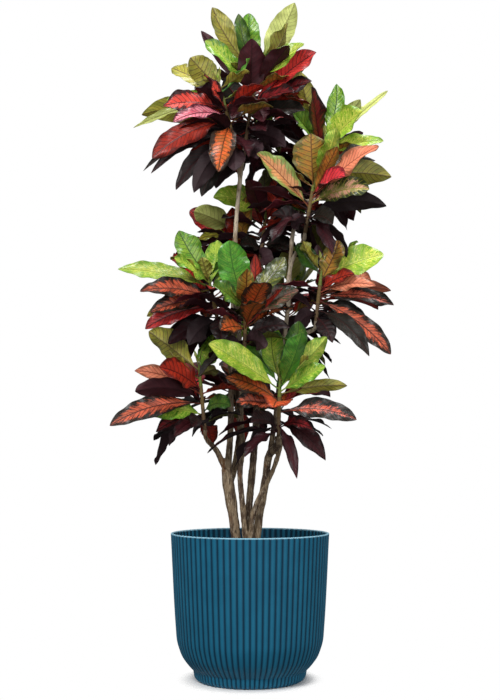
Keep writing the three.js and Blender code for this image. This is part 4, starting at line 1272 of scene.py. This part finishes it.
def add_chunks(shape, draw, top, edge):
    """Crumbs and chips: small uneven lumps that lie half sunk in the soil."""
    ball = bmesh.new()
    bmesh.ops.create_icosphere(ball, subdivisions=2, radius=1)
    knots = np.array([vertex.co[:] for vertex in ball.verts])
    faces = [[vertex.index for vertex in face.verts] for face in ball.faces]
    ball.free()
    for _ in range(CHUNKS):
        radius = (edge - 5) * math.sqrt(draw.between(0, 1))
        angle = draw.between(0, 2 * math.pi)
        size = draw.between(1.4, 4.4)
        stretch = point((draw.between(0.8, 2.2), draw.between(0.6, 1.2), draw.between(0.35, 0.8)))
        shift = point((draw.between(0, 90), draw.between(0, 90), draw.between(0, 90)))
        bumps = np.array([noise.noise(Vector(knot * 1.3 + shift)) for knot in knots])
        lump = knots * (1 + 0.55 * bumps[:, None]) * stretch * size
        turn = draw.between(0, math.pi)
        cos, sin = math.cos(turn), math.sin(turn)
        lump = lump @ np.array([[cos, sin, 0], [-sin, cos, 0], [0, 0, 1]])
        x, y = radius * math.cos(angle), radius * math.sin(angle)
        shape.add(lump + (x, y, top + unevenness(Vector((x, y, top))) + 0.2 * size), faces)


# ---- The stems ----

STEM_STEP = 2.5  # between the rings of a stem
STEM_SIDES = 20
VOXEL = 1.5  # grain at which the stems of a trunk grow together
RING_STEP = 26  # between the scars that fallen leaves left
SCARLESS = 12  # radius from which a stem shows no scars


def stem_path(stem):
    """A smooth path along a stem's route, with the radius at each point."""
    route = np.array(stem_route(stem))
    lengths = np.linalg.norm(np.diff(route, axis=0), axis=1)
    steps = max(2, math.ceil(lengths.max() / STEM_STEP))
    path = through(route, steps)
    run = np.concatenate([[0], np.cumsum(np.linalg.norm(np.diff(path, axis=0), axis=1))])
    even = np.linspace(0, run[-1], max(4, math.ceil(run[-1] / STEM_STEP)))
    path = np.stack([np.interp(even, run, path[:, k]) for k in range(3)], -1)
    radii = np.interp(even / run[-1], np.linspace(0, 1, len(stem[1])), stem[1])
    return path, radii, even


def trunk(name, stems, material, draw):
    """A trunk's stems, grown together into one body, with scars and uneven bark."""
    shape = Shape()
    for stem in stems:
        path, radii, run = stem_path(stem)
        start = draw.between(0, RING_STEP)
        ring = np.abs((run + start) / RING_STEP - np.round((run + start) / RING_STEP)) * RING_STEP
        radii = radii + (radii < SCARLESS) * (0.55 * np.exp(-((ring / 1.8) ** 2)) - 0.1)
        knots = 1 + 0.05 * np.sin(run / draw.between(15, 24) + start) + 0.03 * np.sin(run / 7.3 + 2 * start)
        end = min(len(radii), 8)
        if stem[2]:
            knots[-end:] = mix(knots[-end:], 1, np.linspace(0, 1, end))
        shape.add(*tube(path, radii * knots, STEM_SIDES))
    rough = shape.made(name + "_rough", material)
    remesh = rough.modifiers.new("remesh", "REMESH")
    remesh.mode, remesh.voxel_size = "VOXEL", VOXEL * MM
    smooth = rough.modifiers.new("smooth", "SMOOTH")
    smooth.factor, smooth.iterations = 0.5, 4
    graph = bpy.context.evaluated_depsgraph_get()
    mesh = bpy.data.meshes.new_from_object(rough.evaluated_get(graph), depsgraph=graph)
    bpy.data.objects.remove(rough)
    count = len(mesh.vertices)
    places, normals = np.empty(count * 3, np.float32), np.empty(count * 3, np.float32)
    mesh.vertices.foreach_get("co", places)
    mesh.vertices.foreach_get("normal", normals)
    places, normals = places.reshape(-1, 3), normals.reshape(-1, 3)
    spots = [Vector(place) for place in places * point((1, 1, 0.35)) / MM]
    lifts = [0.55 * noise.noise(spot * 0.11) + 0.4 * noise.noise(spot * 0.4) for spot in spots]
    places = places + normals * (np.array(lifts) * MM)[:, None]
    mesh.vertices.foreach_set("co", places.astype(np.float32).ravel())
    mesh.materials.clear()
    mesh.materials.append(material)
    mesh.name = name
    finish_mesh(mesh, 70)
    return link(name, mesh)


# ---- The whole plant ----

looks = Draw(SEED + 1)
skins = {
    "young": leaf_material("leaf_young", 0.22, 0.42),
    "mature": leaf_material("leaf_mature", 0.27, 0.24),
    "old": leaf_material("leaf_old", 0.33, 0.16),
}
leaves = lay_out()


def stand_in(piece, node):
    """Rides a finished piece on the plant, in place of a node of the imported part."""
    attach(piece, "root")
    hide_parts(node)


for crown in CROWNS:
    for age in AGES:
        shape = Shape()
        add_shoot(shape, crown, age)
        for leaf in leaves:
            if leaf.crown == crown["name"] and leaf.age == age:
                tops, unders = LOOKS[leaf.look]
                add_leaf(shape, leaf, pick(tops, looks), pick(unders, looks), looks)
        if age == "young":
            add_sprouts(shape, crown, looks)
        piece = shape.made(f"Leaves_{crown['name']}_{age}", skins[age])
        stand_in(piece, f"crown_{crown['name']}_{age}")

bark = bark_material()
for name, stems in TRUNKS.items():
    stand_in(trunk(name.title(), stems, bark, looks), name)
stand_in(pot(), "cover_pot")
stand_in(soil(), "soil")

# ---- Stage, light and camera ----

FLOOR_RADIUS = 1.1
FLOOR_SIDES = 64
FLOOR_DROP = 0.0006  # below the pot's foot, so that the two don't share a plane
SHADOW = (0.116, 0.163)  # the floor fades into the white around it between these radii


def stage_floor():
    """A pale floor that fades into the white around it."""
    rim = level_ring(FLOOR_RADIUS, 0, np.arange(FLOOR_SIDES) * 2 * math.pi / FLOOR_SIDES)
    mesh = bpy.data.meshes.new("floor")
    mesh.from_pydata(rim.tolist(), [], [list(range(FLOOR_SIDES))])
    g = Graph("floor_white")
    g.skin((0.92, 0.92, 0.92), 0.9, specular=0.1)
    place = g.node("TexCoord", output="Object")
    away = g.node("VectorMath", {0: place}, output=1, operation="LENGTH")
    g.put(g.shader.inputs["Alpha"], g.step(away, *SHADOW, 1.0, 0.0))
    mesh.materials.append(g.material)
    floor = link("Floor", mesh)
    floor.location.z = -FLOOR_DROP
    return floor


stage_floor()


def area_light(name, place, aim, width, height, power):
    lamp = bpy.data.lights.new(name, "AREA")
    lamp.shape, lamp.size, lamp.size_y, lamp.energy = "RECTANGLE", width, height, power
    light = link(name, lamp)
    light.location = place
    light.rotation_euler = (Vector(aim) - Vector(place)).to_track_quat("-Z", "Y").to_euler()


area_light("Key", (-1.3, -2.6, 2.9), (0, 0, 0.8), 1.1, 1.1, 90)
area_light("Fill", (1.1, -3.1, 1.0), (0, 0, 0.8), 2.0, 1.6, 36)
area_light("Top", (0.5, -0.3, 3.3), (0, 0, 0.8), 1.2, 1.2, 66)

AMBIENT = (0.2, 0.48)  # light of the surroundings from below and from above
AMBIENT_SLOPE = (-0.6, 0.8)  # the upward slopes between which it changes
world = bpy.data.worlds.new("studio")
world.use_nodes = True
bpy.context.scene.world = world
nodes, links = world.node_tree.nodes, world.node_tree.links
background = nodes["Background"]
# White where the camera sees it. As light it is dimmer, the most so from below.
upward = nodes.new("ShaderNodeSeparateXYZ")
links.new(nodes.new("ShaderNodeTexCoord").outputs["Generated"], upward.inputs[0])
ambient = nodes.new("ShaderNodeMapRange")
for key, value in zip(("From Min", "From Max", "To Min", "To Max"), (*AMBIENT_SLOPE, *AMBIENT)):
    ambient.inputs[key].default_value = value
links.new(upward.outputs["Z"], ambient.inputs["Value"])
strength = nodes.new("ShaderNodeMapRange")
strength.inputs["To Max"].default_value = 1.0
links.new(nodes.new("ShaderNodeLightPath").outputs["Is Camera Ray"], strength.inputs["Value"])
links.new(ambient.outputs[0], strength.inputs["To Min"])
links.new(strength.outputs[0], background.inputs["Strength"])
background.inputs["Color"].default_value = (1, 1, 1, 1)

# The camera stands where the ellipse of the pot's rim puts it.
lens = bpy.data.cameras.new("Camera")
lens.lens = 55.1
lens.clip_end = 200
camera = link("Camera", lens)
camera.location = (0, -2.4, 0.477)
camera.rotation_euler = (math.radians(95.81), 0, 0)
bpy.context.scene.camera = camera
bpy.context.scene.view_settings.view_transform = "Standard"
